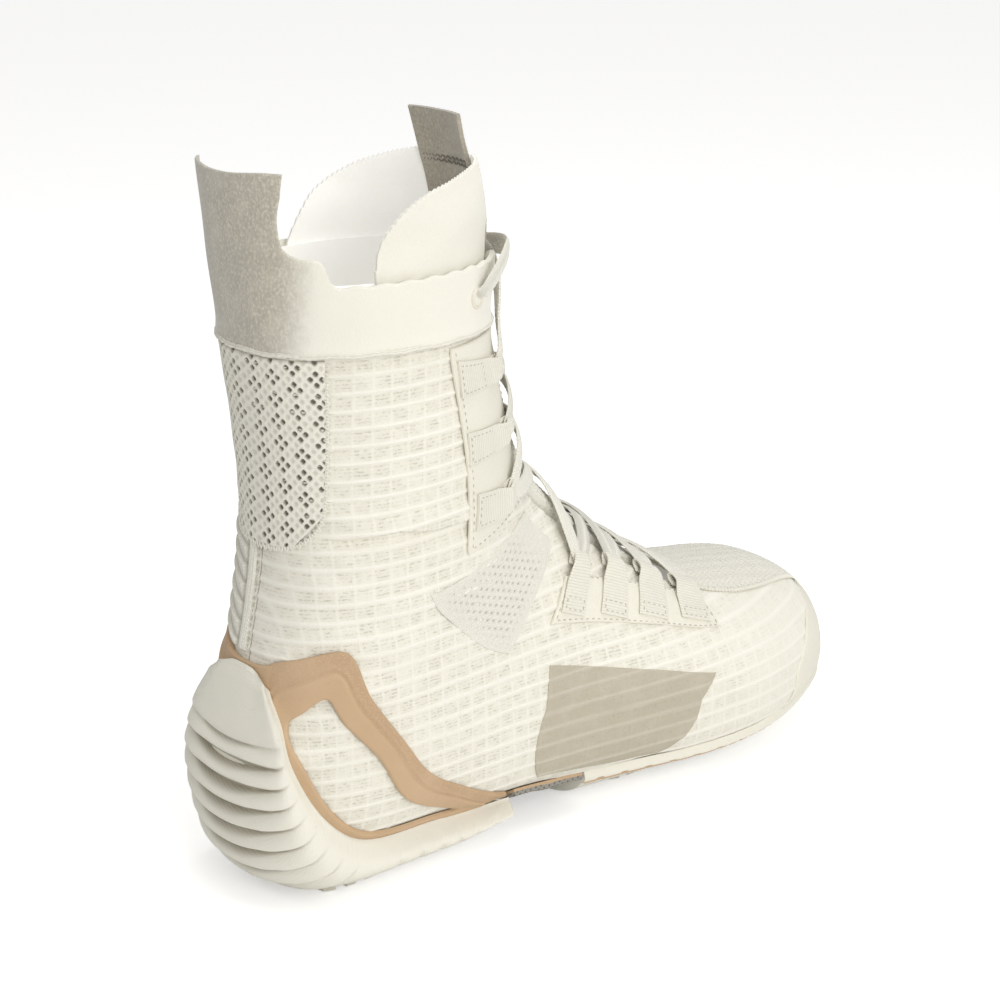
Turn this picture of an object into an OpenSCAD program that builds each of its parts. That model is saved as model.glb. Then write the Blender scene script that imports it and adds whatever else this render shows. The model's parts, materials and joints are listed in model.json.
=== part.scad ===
// High-top boxing boot for the right foot, built on one last surface.
// Origin: on the floor under the middle of the heel. +X runs to the toe, +Y to the
// medial (inner) side, +Z up. Every sewn or moulded layer is a patch of the last
// surface, held between two distances measured along the surface normal.

/* [Overall] */
// Length of the last, from the back of the heel to the toe tip
last_length = 288; // [270:1:305]
// Height of the collar piping above the floor
shaft_height = 197; // [185:1:210]
// Width across the ball of the foot
ball_width = 100; // [92:1:108]

/* [Layers] */
// Clearance left between neighbouring layers
gap = 0.4; // [0.4:0.05:0.5]
// Thickness of the ripstop outer fabric
fabric_t = 1.7; // [1.4:0.1:1.8]
// Thickness of sewn overlays such as the eyestays
overlay_t = 1.0; // [0.8:0.1:1.0]
// Thickness of the moulded heel cage
cage_t = 2.0; // [1.6:0.1:2.0]
// Thickness of the webbing lace loops
webbing_t = 1.2; // [1.0:0.1:1.2]
// Room for the stiffeners and foam behind the fabric
stiffener_t = 1.2; // [1.0:0.1:1.2]
// Thickness of the lining
lining_t = 1.2; // [1.0:0.1:1.4]
// Thickness of the padded tongue
tongue_t = 3.2; // [2.4:0.1:3.6]

/* [Lacing] */
// Width of the flat lace
lace_w = 7; // [5:0.5:8]
// Thickness of the flat lace
lace_t = 1.2; // [1.0:0.1:1.2]
// Width of one webbing loop
loop_w = 10; // [8:0.5:11]

/* [Sole] */
// Height of the tread lugs
lug_h = 1.6; // [1.2:0.1:1.8]
// Thickness of the foam wedge under the heel
wedge_t = 4; // [3:0.5:5]

/* [Hidden] */

// Colours
cream = "#f3f0e2";
knit_white = "#f0efe6";
taupe = "#b9b0a1";
tab_grey = "#9f978a";
tan = "#c9aa86";
carbon = "#7d7a72";
foam = "#d9d6cc";

// The last: one station per row, from the toe tip to above the collar.
// [station, back or bottom x, z, front or top x, z, half width, centre y,
//  place of the widest point, squareness of the bottom]
LAST = [
    [-0.3, 241.5, 27, 241, 33, 4, 3, 0.50, 1.00],
    [0.0, 240, 20, 238, 40, 15, 3, 0.45, 0.90],
    [0.5, 233, 14, 230, 52, 29, 2, 0.38, 0.75],
    [1.0, 218, 10, 212, 62, 41, 0, 0.32, 0.65],
    [2.0, 182, 7, 182, 69, 50, -3, 0.27, 0.52],
    [3.0, 145, 7, 150, 76, 50, -4, 0.26, 0.50],
    [4.0, 102, 9, 124, 91, 45, -3, 0.27, 0.52],
    [5.0, 58, 11, 106, 105, 40, -1, 0.27, 0.55],
    [6.0, 16, 12, 92, 118, 38, 0, 0.28, 0.58],
    [7.0, -28, 16, 81, 130, 37, 0, 0.36, 0.65],
    [8.0, -49, 48, 74, 142, 36, 0, 0.44, 0.85],
    [9.0, -40, 90, 69, 154, 35, 0, 0.50, 1.00],
    [10.0, -33, 126, 65, 167, 36, 0, 0.50, 1.00],
    [11.0, -33, 160, 61, 181, 37, 0, 0.50, 1.00],
    [12.0, -37, 198, 58, 196, 38, 0, 0.50, 1.00],
    [13.0, -41, 231, 61, 230, 37, 0, 0.50, 1.00],
    [14.0, -44, 263, 53, 262, 36, 0, 0.50, 1.00],
    [14.5, -45, 278, 49, 277, 35, 0, 0.50, 1.00]
];
kx = last_length / 288;
ky = ball_width / 100;
kz = shaft_height / 197;
side_power = 0.85;
top_row = len(LAST) - 1;

// Layer distances from the last surface, inner and outer
FABRIC = [-fabric_t, 0];
OVERLAY = [gap, gap + overlay_t];
CAGE = [gap, gap + cage_t];
WEBBING = [OVERLAY[1] + gap, OVERLAY[1] + gap + webbing_t];
LACE_LOW = [WEBBING[1] + gap, WEBBING[1] + gap + lace_t];
LACE_HIGH = [LACE_LOW[1] + gap, LACE_LOW[1] + gap + lace_t];
STIFFENER = [-fabric_t - gap - stiffener_t, -fabric_t - gap];
// Moulded counters are half as thick as the foam and keep off the fabric's flat facets
COUNTER = [STIFFENER[0], STIFFENER[1] - stiffener_t / 2];
LINING = [STIFFENER[0] - gap - lining_t, STIFFENER[0] - gap];
TONGUE_OUT = LINING[0] - gap - 0.5;
cup_gap = CAGE[1] + gap + 0.1;

// Seam lines, in degrees round a section: 0 is the bottom or back, 180 the top or front
feather = 49;
throat = 157;
toe_end = -0.28;
toe_split = 1.3;
vamp_split = 2.98;
shaft_start = 9.6;
shaft_end = 11.95;
foot_top_back = 8.2;
foot_top_front = 5.75;
seam_s = 0.05;

function row_of(s, i = 0) = i >= top_row - 1 || s < LAST[i + 1][0] ? i : row_of(s, i + 1);
function slope(i, c) =
    let(a = max(i - 1, 0), b = min(i + 1, top_row))
    (LAST[b][c] - LAST[a][c]) / (LAST[b][0] - LAST[a][0]);
// One column of the last at station s, as a smooth cubic through the stations
function last_value(s, c) =
    let(i = row_of(s), step = LAST[i + 1][0] - LAST[i][0], u = (s - LAST[i][0]) / step)
    (2 * u^3 - 3 * u^2 + 1) * LAST[i][c]
    + (u^3 - 2 * u^2 + u) * slope(i, c) * step
    + (3 * u^2 - 2 * u^3) * LAST[i + 1][c]
    + (u^3 - u^2) * slope(i + 1, c) * step;
function last_row(s) = [for (c = [1:8]) last_value(s, c)];
// Point of the section r at angle t
function section_point(r, t) =
    let(
        c = -cos(t),
        lift = c < 0 ? -pow(-c, r[7]) : c,
        h = (lift + 1) / 2,
        hh = h + (r[6] - 0.5) * 2 * h * (1 - h),
        y = r[5] - r[4] * sign(sin(t)) * pow(abs(sin(t)), side_power)
    )
    [
        kx * (r[0] + (r[2] - r[0]) * hh),
        ky * y,
        kz * (r[1] + (r[3] - r[1]) * hh)
    ];
probe_s = 0.02;
probe_t = 1;
function surface_normal(s, t) =
    let(
        r = last_row(s),
        along = section_point(last_row(s + probe_s), t)
            - section_point(last_row(s - probe_s), t),
        around = section_point(r, t + probe_t) - section_point(r, t - probe_t),
        n = cross(around, along)
    )
    n / norm(n);
// Point at station s and angle t, at distance d outside the last
function surf(s, t, d) = section_point(last_row(s), t) + d * surface_normal(s, t);
function mix(a, b, u) = a + (b - a) * u;
function ramp(s, a, b) =
    let(u = max(0, min(1, (s - a) / (b - a))))
    u * u * (3 - 2 * u);

// Closed solid between two grids of points with the same rows and columns.
// With ring = true the last column joins the first; turn = 1 takes the other diagonal
// of every quad, so that a medial piece mirrors the lateral one.
module slab(inner, outer, ring = false, turn = 0) {
    n = len(inner);
    m = len(inner[0]);
    cols = ring ? m : m - 1;
    size = n * m;
    function at(layer, i, j) = layer * size + i * m + (j % m);
    quads = concat(
        [for (i = [0:n - 2], j = [0:cols - 1])
            [at(1, i, j), at(1, i + 1, j), at(1, i + 1, j + 1), at(1, i, j + 1)]],
        [for (i = [0:n - 2], j = [0:cols - 1])
            [at(0, i, j), at(0, i, j + 1), at(0, i + 1, j + 1), at(0, i + 1, j)]],
        [for (j = [0:cols - 1])
            [at(1, 0, j), at(1, 0, j + 1), at(0, 0, j + 1), at(0, 0, j)]],
        [for (j = [0:cols - 1])
            [at(1, n - 1, j + 1), at(1, n - 1, j), at(0, n - 1, j), at(0, n - 1, j + 1)]],
        ring ? [] : [for (i = [0:n - 2])
            [at(1, i + 1, 0), at(1, i, 0), at(0, i, 0), at(0, i + 1, 0)]],
        ring ? [] : [for (i = [0:n - 2])
            [at(1, i, m - 1), at(1, i + 1, m - 1), at(0, i + 1, m - 1), at(0, i, m - 1)]]
    );
    polyhedron(
        points = [for (grid = [inner, outer], line = grid, p = line) p],
        faces = [for (q = quads, half = [[0, 1, 2], [0, 2, 3]])
            [for (k = half) q[(k + turn) % 4]]]
    );
}

// Patch of the last: st(u, v) gives [station, angle] for u along and v round
module patch(st, rows, cols, layer, ring = false, turn = 0) {
    span = ring ? cols : cols - 1;
    grid = [for (i = [0:rows - 1]) [for (j = [0:cols - 1]) st(i / (rows - 1), j / span)]];
    slab(
        [for (line = grid) [for (q = line) surf(q[0], q[1], layer[0])]],
        [for (line = grid) [for (q = line) surf(q[0], q[1], layer[1])]],
        ring,
        turn
    );
}

// Four-cornered patch: corners are [station, angle] at low-low, high-low, low-high, high-high
module quad_patch(c, rows, cols, layer) {
    st = function (u, v) mix(mix(c[0], c[1], u), mix(c[2], c[3], u), v);
    patch(st, rows, cols, layer);
}

// Patch with straight limits in station and angle, on the lateral or the medial side
module side_patch(side, s, t, rows, cols, layer) {
    t0 = side > 0 ? t[0] : -t[1];
    t1 = side > 0 ? t[1] : -t[0];
    quad_patch([[s[0], t0], [s[1], t0], [s[0], t1], [s[1], t1]], rows, cols, layer);
}

// Corner list of a quad patch mirrored to the medial side
function flip(c) = [for (k = [2, 3, 0, 1]) [c[k][0], -c[k][1]]];
function sided(side, c) = side > 0 ? c : flip(c);

lateral = 1;
medial = -1;

/* ---- sole ---- */

// Angle of the heel cup's edge and the height of its back rim, by station
CUP_EDGE = [[5.2, 47], [6.4, 44], [7.0, 44], [7.5, 41], [8.0, 36], [8.4, 29.5], [8.75, 18]];
cup_front = 5.22;
cup_rim = 8.92;
cup_corner_drop = 0.2;
// Outer bottom and back profile of the cup: station, x, z
CUP_X = [[5.2, 50], [5.6, 33], [6.0, 18], [6.5, -4], [6.8, -28], [7.0, -41], [7.25, -49],
    [7.5, -53.5], [8.0, -56], [8.4, -52.5], [8.92, -46]];
CUP_Z = [[5.2, 6.5], [5.6, 2], [6.0, 1], [6.5, 1], [6.8, 1.5], [7.0, 5], [7.25, 11],
    [7.5, 20], [8.0, 42], [8.4, 62], [8.92, 86]];
cup_edge_t = 1.8;
cup_bulge = 0.2;
cup_square_low = 0.6;
cup_square_high = 0.85;
function cup_angle(s) = lookup(s, CUP_EDGE);
function cup_st(u, v) =
    let(w = 2 * v - 1, s = mix(cup_front, cup_rim - cup_corner_drop * abs(w), u))
    [s, w * cup_angle(s)];
// Distance of the cup's inner wall: it steps out to leave room for the foam wedge
wedge_front = 5.45;
wedge_back = 6.75;
function wedge_room(s, w) =
    (wedge_t - cup_gap + 2 * gap) * (1 - pow(abs(w), 4))
    * ramp(s, wedge_front - 0.15, wedge_front + 0.15)
    * (1 - ramp(s, wedge_back - 0.15, wedge_back + 0.15));
function cup_inner(u, v) =
    let(q = cup_st(u, v), w = 2 * v - 1)
    surf(q[0], q[1], cup_gap + wedge_room(q[0], w));
function cup_outer(u, v) =
    let(
        q = cup_st(u, v),
        s = q[0],
        w = 2 * v - 1,
        phi = 90 * abs(w),
        p = mix(cup_square_low, cup_square_high, ramp(s, 6.5, 7.6)),
        edge = surf(s, q[1], cup_gap + cup_edge_t),
        rim = surf(s, cup_angle(s), cup_gap + cup_edge_t),
        h = 1 - pow(cos(phi), p),
        x0 = kx * lookup(s, CUP_X),
        z0 = kz * lookup(s, CUP_Z),
        y = abs(rim[1]) * pow(sin(phi), p) * (1 + cup_bulge * sin(180 * h))
    )
    abs(w) > 0.999
        ? [edge[0], edge[1], max(edge[2], lug_h + 0.4)]
        : [mix(x0, rim[0], h), -sign(w) * y, max(mix(z0, rim[2], h), lug_h + 0.4)];

module heel_cup() {
    rows = 20;
    cols = 19;
    color(cream)
    slab(
        [for (i = [0:rows - 1]) [for (j = [0:cols - 1]) cup_inner(i / (rows - 1), j / (cols - 1))]],
        [for (i = [0:rows - 1]) [for (j = [0:cols - 1]) cup_outer(i / (rows - 1), j / (cols - 1))]]
    );
}

// Row of slanted tread bars, cut to a rounded footprint, joined by a middle rib
module tread(x0, x1, half_w, pitch, bar, slant, rib) {
    centre = (x0 + x1) / 2;
    half_l = (x1 - x0) / 2;
    outline = [for (a = [0:10:350])
        [centre + half_l * sign(cos(a)) * sqrt(abs(cos(a))),
            half_w * sign(sin(a)) * sqrt(abs(sin(a)))]];
    linear_extrude(height = lug_h)
    intersection() {
        polygon(outline);
        union() {
            translate([x0, -rib])
            square([x1 - x0, 2 * rib]);
            for (x = [x0 + pitch / 2:pitch:x1], side = [-1, 1])
                polygon([
                    [x - bar / 2, 0], [x + bar / 2, 0],
                    [x + bar / 2 + slant, side * half_w], [x - bar / 2 + slant, side * half_w]
                ]);
        }
    }
}

module heel_tread() {
    color(cream)
    tread(kx * -33, kx * 26, ky * 24, kx * 8, 4, 4, 3);
}

// Wedge of foam between the upper and the floor of the cup
module midsole_wedge() {
    st = function (u, v) [mix(wedge_front + 0.2, wedge_back - 0.2, u), mix(-34, 34, v)];
    rows = 6;
    cols = 9;
    color(foam)
    patch(st, rows, cols, [gap, gap + wedge_t * 0.75]);
}

module midfoot_shank() {
    stations = [4.46, 5.16];
    half_angle = 50;
    shank_t = 2.6;
    color(carbon)
    side_patch(lateral, stations, [-half_angle, half_angle], 5, 13, [gap, gap + shank_t]);
}

// Rubber of the forefoot: thick in the middle, feathering out at the edge
pod_edge = 61;
pod_edge_t = 2;
pod_clear = lug_h + 0.05;
function pod_outer(s, v, flat) =
    let(
        w = 2 * v - 1,
        t = w * pod_edge,
        floor_t = kz * last_value(s, 2) - pod_clear,
        mid_t = mix(4, max(floor_t, pod_edge_t), flat),
        p = surf(s, t, gap + mix(mid_t, pod_edge_t, pow(abs(w), 4)))
    )
    [p[0], p[1], max(p[2], pod_clear)];
module pod(s0, s1, rows, flat) {
    cols = 15;
    color(cream)
    slab(
        [for (i = [0:rows - 1]) [for (j = [0:cols - 1])
            surf(mix(s0, s1, i / (rows - 1)), mix(-pod_edge, pod_edge, j / (cols - 1)), gap)]],
        [for (i = [0:rows - 1]) [for (j = [0:cols - 1])
            pod_outer(mix(s0, s1, i / (rows - 1)), j / (cols - 1), flat)]]
    );
}
toe_pod_end = 1.86;
ball_pod = [2.9, 4.4];
module forefoot_outsole() {
    pod(ball_pod[0], ball_pod[1], 7, 1);
}
module toe_outsole() {
    pod(toe_end, toe_pod_end, 11, 0);
}
module forefoot_tread() {
    color(cream)
    tread(kx * 104, kx * 146, ky * 29, kx * 8, 4, 4, 3);
}
// Thin grooved web that lets the sole bend at the ball
module sole_flex_web() {
    stations = [1.9, 2.86];
    half_angle = 58;
    web_t = 1.8;
    color(taupe)
    side_patch(lateral, stations, [-half_angle, half_angle], 6, 13, [gap, gap + web_t]);
}

/* ---- inside ---- */

insole = [1.0, 6.5];
module strobel_board() {
    edge = feather - 2;
    color(knit_white)
    side_patch(lateral, insole, [-edge, edge], 19, 7, FABRIC);
}
module sockliner() {
    edge = feather - 3;
    top = -6.4;
    color(tab_grey)
    side_patch(lateral, insole, [-edge, edge], 19, 7, [top, -fabric_t - gap]);
}
module heel_counter() {
    stations = [7.25, 8.15];
    half_angle = 62;
    color(foam)
    side_patch(lateral, stations, [-half_angle, half_angle], 8, 15, COUNTER);
}
module toe_puff() {
    stations = [0.3, 1.15];
    low = 66;
    color(foam)
    side_patch(lateral, stations, [low, 360 - low], 6, 15, COUNTER);
}
module collar_foam() {
    stations = [10.2, 11.85];
    half_angle = 120;
    color(foam)
    side_patch(lateral, stations, [-half_angle, half_angle], 5, 19, STIFFENER);
}

// Lining, as an inner boot in four stretches
lining_low = 54;
module vamp_lining() {
    color(knit_white)
    side_patch(lateral, [0.2, 2.9], [lining_low, 360 - lining_low], 9, 17, LINING);
}
function foot_top(t) = mix(foot_top_back, foot_top_front, min(abs(t), throat) / throat);
// Lower limit of a foot side panel, front to back: [share of the length, station, angle].
// It runs along the feather line, then turns up to the heel seam.
heel_seam = 1;
function low_edge(low) = [
    [0, vamp_split + seam_s, low], [0.5, 6.5, low],
    [0.7, 7.6, heel_seam], [1, foot_top(heel_seam), heel_seam]
];
// Side panel of the foot, ruled between its lower limit and the throat line
function foot_side(side, low) = function (u, v)
    let(
        w = side > 0 ? v : 1 - v,
        low_s = lookup(u, [for (p = low_edge(low)) [p[0], p[1]]]),
        low_t = lookup(u, [for (p = low_edge(low)) [p[0], p[2]]]),
        top_s = mix(vamp_split + seam_s, foot_top_front, u)
    )
    [mix(low_s, top_s, w), side * mix(low_t, throat, w)];
module foot_lining() {
    color(knit_white)
    for (side = [lateral, medial])
        patch(foot_side(side, lining_low), 15, 9, LINING, turn = side > 0 ? 0 : 1);
}
function ankle_band(t0, t1, top) = function (u, v)
    let(t = mix(t0, t1, v))
    [mix(foot_top(t) + seam_s, top, u), t];
module ankle_lining() {
    color(knit_white)
    patch(ankle_band(-throat, throat, shaft_start - seam_s), 8, 25, LINING);
}
module shaft_lining() {
    color(knit_white)
    side_patch(lateral, [shaft_start, 12.72], [-throat, throat], 7, 25, LINING);
}

/* ---- outer fabric ---- */

module toe_box() {
    low = pod_edge - 8;
    color(cream)
    side_patch(lateral, [toe_end, toe_split], [low, 360 - low], 8, 17, FABRIC);
}
module vamp_side(side) {
    color(cream)
    side_patch(side, [toe_split + seam_s, vamp_split], [feather + 1, throat - 1], 9, 9, FABRIC);
}
module vamp_lateral() {
    vamp_side(lateral);
}
module vamp_medial() {
    vamp_side(medial);
}
module vamp_knit() {
    color(knit_white)
    side_patch(lateral, [toe_split + seam_s, vamp_split], [throat, 360 - throat], 9, 5, FABRIC);
}
module quarter(side) {
    turn = side > 0 ? 0 : 1;
    color(cream)
    patch(foot_side(side, feather + 1), 19, 11, FABRIC, turn = turn);
}
module quarter_lateral() {
    quarter(lateral);
}
module quarter_medial() {
    quarter(medial);
}
ankle_seam = 0.6;
module ankle_panel_lateral() {
    color(cream)
    patch(ankle_band(ankle_seam, throat, shaft_start - seam_s), 8, 13, FABRIC);
}
module ankle_panel_medial() {
    color(cream)
    patch(ankle_band(-throat, -ankle_seam, shaft_start - seam_s), 8, 13, FABRIC);
}
mesh_low = 34;
mesh_high = 43;
mesh_start = 10.1;
module shaft_side(side) {
    color(cream)
    side_patch(side, [shaft_start, shaft_end], [ankle_seam, throat], 7, 13, FABRIC);
}
module shaft_lateral() {
    shaft_side(lateral);
}
module shaft_medial() {
    shaft_side(medial);
}

/* ---- overlays ---- */

// Rim that wraps the toe above the sole, reaching further back as it comes down
RAND = [[66, 1.84], [88, 1.7], [106, 1.35], [134, 0.75], [150, 0.5], [180, 0.4]];
rand_lift = 0.6;
rand_low = pod_edge + 3;
// The strip folds down over the open tip of the toe, inside the edge of the sole
tip_scale = 0.85;
function rand_length(t) = lookup(t > 180 ? 360 - t : t, RAND);
function tip_point(v, d) =
    let(centre = (surf(toe_end, 0, 0) + surf(toe_end, 180, 0)) / 2)
    mix(centre, surf(toe_end, mix(pod_edge, -pod_edge, v), 0), tip_scale) + [d, 0, 0];
function rand_point(u, v, d) =
    let(t = mix(rand_low, 360 - rand_low, v))
    u < 0 ? tip_point(v, d) : surf(mix(toe_end, rand_length(t), u), t, d);
function rand_grid(rows, cols, d) =
    [for (i = [-1:rows - 1]) [for (j = [0:cols - 1])
        rand_point(i / (rows - 1), j / (cols - 1), d)]];
module toe_rand() {
    rows = 7;
    cols = 23;
    color(cream)
    slab(
        rand_grid(rows, cols, OVERLAY[0] + rand_lift),
        rand_grid(rows, cols, OVERLAY[1] + rand_lift)
    );
}
// Taupe film on the side of the midfoot
FILM = [[3.7, 63], [5.05, 63], [3.15, 106], [5.6, 106]];
module side_film_lateral() {
    color(taupe)
    quad_patch(sided(lateral, FILM), 9, 8, OVERLAY);
}
module side_film_medial() {
    color(taupe)
    quad_patch(sided(medial, FILM), 9, 8, OVERLAY);
}
// Perforated insert between the lower and the upper lacing
INSERT = [[6.4, 108], [8.5, 91], [6.1, 146], [7.15, 147]];
module instep_insert_lateral() {
    color(knit_white)
    quad_patch(sided(lateral, INSERT), 7, 6, OVERLAY);
}
module instep_insert_medial() {
    color(knit_white)
    quad_patch(sided(medial, INSERT), 7, 6, OVERLAY);
}
LOWER_EYESTAY = [[3.0, 131], [5.8, 119], [3.0, throat], [5.65, throat]];
module lower_eyestay_lateral() {
    color(cream)
    quad_patch(sided(lateral, LOWER_EYESTAY), 11, 5, OVERLAY);
}
module lower_eyestay_medial() {
    color(cream)
    quad_patch(sided(medial, LOWER_EYESTAY), 11, 5, OVERLAY);
}
UPPER_EYESTAY = [[8.35, 110], [11.9, 102], [7.3, throat], [11.9, throat]];
module upper_eyestay_lateral() {
    color(cream)
    quad_patch(sided(lateral, UPPER_EYESTAY), 13, 7, OVERLAY);
}
module upper_eyestay_medial() {
    color(cream)
    quad_patch(sided(medial, UPPER_EYESTAY), 13, 7, OVERLAY);
}
module back_mesh_panel() {
    color(taupe)
    quad_patch([[mesh_start, -mesh_low], [shaft_end, -mesh_high],
        [mesh_start, mesh_low], [shaft_end, mesh_high]], 8, 9, OVERLAY);
}
// Padded strip over the heel tendon, from the back seam round to the medial side
module achilles_strip() {
    strip_t = 2.4;
    strip_start = 9;
    angles = [-34, -5];
    color(cream)
    side_patch(lateral, [strip_start, mesh_start - seam_s], angles, 5, 7, [gap, strip_t]);
}

// Moulded cage round the heel: an arm and a rim that meet in front, one loop a side.
// Each pair is the outer and the inner edge point, as [station, angle].
CAGE_LOOP = [
    [[8.95, 12], [8.55, 33]], [[8.95, 27], [8.52, 38]], [[8.85, 48], [8.44, 46]],
    [[8.6, 60], [8.33, 52]], [[8.0, 72], [7.9, 63]], [[7.3, 81], [7.4, 72]],
    [[6.7, 80], [6.9, 71]], [[6.0, 71], [6.3, 63]], [[5.45, 58], [5.95, 54]],
    [[5.2, 45], [5.8, 49.5]], [[5.9, 41], [6.1, 47.5]], [[6.4, 39], [6.5, 47]],
    [[7.0, 39], [7.0, 48]], [[7.5, 36], [7.45, 45.5]], [[8.0, 31], [7.95, 41]],
    [[8.4, 25], [8.3, 35]], [[8.72, 12], [8.5, 32]]
];
// The loop with each span divided, so that it follows the curve of the heel
cage_steps = 2;
function cage_edge(k) = [for (i = [0:len(CAGE_LOOP) - 1], j = [0:cage_steps - 1])
    mix(CAGE_LOOP[i][k], CAGE_LOOP[(i + 1) % len(CAGE_LOOP)][k], j / cage_steps)];
module cage_side(side) {
    widths = 3;
    outer_edge = cage_edge(0);
    inner_edge = cage_edge(1);
    n = len(outer_edge);
    function st(i, j) =
        let(q = mix(inner_edge[i], outer_edge[i], j / widths))
        [q[0], side * q[1]];
    // Rows run across the band and columns round the loop
    turns = side > 0 ? [0:n - 1] : [n - 1:-1:0];
    grid = [for (j = [0:widths]) [for (i = turns) st(i, j)]];
    slab(
        [for (line = grid) [for (q = line) surf(q[0], q[1], CAGE[0])]],
        [for (line = grid) [for (q = line) surf(q[0], q[1], CAGE[1])]],
        true
    );
}
// The two loops are bridged over the back seam
bridge = [8.755, 8.915];
bridge_half = 16;
bridge_inset = 0.1;
module heel_cage() {
    color(tan) {
        cage_side(lateral);
        cage_side(medial);
        side_patch(lateral, bridge, [-bridge_half, bridge_half], 2, 7,
            [CAGE[0] + bridge_inset, CAGE[1] - bridge_inset]);
    }
}

/* ---- lacing ---- */

// Loops: station of the foot, station of the lace end, angle of the foot
LOWER_LOOPS = [[3.3, 3.15, 133], [4.0, 3.8, 129.5], [4.68, 4.55, 126], [5.45, 5.4, 123.5]];
UPPER_LOOPS = [[8.95, 7.6, 112], [10.25, 9.3, 106], [11.48, 11.0, 104.5]];
lower_pitch = 22;
upper_pitch = 17;
function strap(a, b, half) = [[a[0] - half, a[1]], [a[0] + half, a[1]],
    [b[0] - half, b[1]], [b[0] + half, b[1]]];
module loops(side, list, pitch, cols) {
    half_s = loop_w / 2 / pitch;
    color(cream)
    for (l = list)
        quad_patch(sided(side, strap([l[0], l[2]], [l[1], throat], half_s)), 3, cols, WEBBING);
}
module lower_loops_lateral() {
    loops(lateral, LOWER_LOOPS, lower_pitch, 5);
}
module lower_loops_medial() {
    loops(medial, LOWER_LOOPS, lower_pitch, 5);
}
module upper_loops_lateral() {
    loops(lateral, UPPER_LOOPS, upper_pitch, 8);
}
module upper_loops_medial() {
    loops(medial, UPPER_LOOPS, upper_pitch, 8);
}
// Two crossing strands between neighbouring loops, one over the other
lace_in = throat + 2;
module crossing(s0, s1, pitch) {
    half_s = lace_w / 2 / pitch;
    quad_patch(strap([s0, lace_in], [s1, 360 - lace_in], half_s), 3, 9, LACE_LOW);
    quad_patch(strap([s1, lace_in], [s0, 360 - lace_in], half_s), 3, 9, LACE_HIGH);
}
module lower_lace() {
    color(cream)
    for (i = [0:len(LOWER_LOOPS) - 2])
        crossing(LOWER_LOOPS[i][1], LOWER_LOOPS[i + 1][1], lower_pitch);
}
module ankle_lace() {
    color(cream)
    crossing(LOWER_LOOPS[len(LOWER_LOOPS) - 1][1], UPPER_LOOPS[0][1], upper_pitch);
}
module upper_lace() {
    color(cream)
    for (i = [0:len(UPPER_LOOPS) - 2])
        crossing(UPPER_LOOPS[i][1], UPPER_LOOPS[i + 1][1], upper_pitch);
}

/* ---- collar ---- */

BAND_TOP = [[0, 13.15], [30, 13.15], [36, 13.1], [46, 13.05], [50, 12.75], [180, 12.7]];
function band_top(t) = lookup(abs(t), BAND_TOP);
band_low = 12.12;
eyelet_s = 12.42;
eyelet_t = 120;
eyelet_r = 2.4;
cut_depth = 2;
// Places its children on the last at station s, angle t, pointing outwards
module on_surface(s, t, d) {
    n = surface_normal(s, t);
    translate(surf(s, t, d))
    rotate([0, acos(n[2]), atan2(n[1], n[0])])
    children();
}
module collar_band() {
    st = function (u, v)
        let(t = mix(-throat, throat, v))
        [mix(band_low, band_top(t), u), t];
    rows = 4;
    cols = 33;
    color(taupe)
    difference() {
        patch(st, rows, cols, OVERLAY);
        for (side = [lateral, medial])
            on_surface(eyelet_s, side * eyelet_t, -cut_depth)
            cylinder(h = 3 * cut_depth, r = eyelet_r, $fn = 32);
    }
}
module collar_eyelets() {
    fit = 0.15;
    wall = 0.5;
    flange_w = 1.8;
    flange_t = 0.6;
    tube_r = eyelet_r - fit;
    bore_r = tube_r - wall;
    flange_r = eyelet_r + flange_w;
    flange_d = OVERLAY[1] + gap;
    color(cream)
    for (side = [lateral, medial])
        on_surface(eyelet_s, side * eyelet_t, 0)
        rotate_extrude($fn = 32)
        polygon([[bore_r, 0], [tube_r, 0], [tube_r, flange_d], [flange_r, flange_d],
            [flange_r, flange_d + flange_t], [bore_r, flange_d + flange_t]]);
}
// Rolled piping that covers the seam between the shaft and the band
piping_r = 1.5;
piping_s = 12.03;
module collar_piping() {
    sides = 6;
    steps = 32;
    turns = [for (j = [0:steps]) mix(-throat, throat, j / steps)];
    function ring_point(t, a) =
        surf(piping_s, t, OVERLAY[0] + piping_r + piping_r * cos(a)) + [0, 0, piping_r * sin(a)];
    faces = concat(
        [for (i = [0:steps - 1], k = [0:sides - 1])
            [i * sides + k, i * sides + (k + 1) % sides, (i + 1) * sides + (k + 1) % sides]],
        [for (i = [0:steps - 1], k = [0:sides - 1])
            [i * sides + k, (i + 1) * sides + (k + 1) % sides, (i + 1) * sides + k]],
        [for (k = [1:sides - 2]) [0, k + 1, k]],
        [for (k = [1:sides - 2]) [steps * sides, steps * sides + k, steps * sides + k + 1]]
    );
    color(knit_white)
    polyhedron(
        points = [for (t = turns, k = [0:sides - 1]) ring_point(t, 360 * k / sides)],
        faces = faces
    );
}
// Free part of a stretch collar wing, which rises towards the front
wing_back = 70;
wing_front = 155;
WING_TOP = [[wing_back, 12.9], [76, 13.2], [86, 13.45], [104, 13.6], [132, 13.7], [wing_front, 13.75]];
wing_low = 12.8;
module collar_wing(side) {
    st = function (u, v)
        let(t = mix(wing_back, wing_front, side > 0 ? v : 1 - v))
        [mix(wing_low, lookup(t, WING_TOP), u), side * t];
    rows = 5;
    cols = 11;
    color(knit_white)
    patch(st, rows, cols, STIFFENER);
}
module collar_wing_lateral() {
    collar_wing(lateral);
}
module collar_wing_medial() {
    collar_wing(medial);
}
// Corners of the tab; it is a little taller on the medial side
HEEL_TAB = [[13.26, -28], [14.0, -34], [13.26, 28], [13.9, 34]];
module heel_pull_tab() {
    color(tab_grey)
    quad_patch(HEEL_TAB, 5, 9, OVERLAY);
}

/* ---- tongue ---- */

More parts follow.
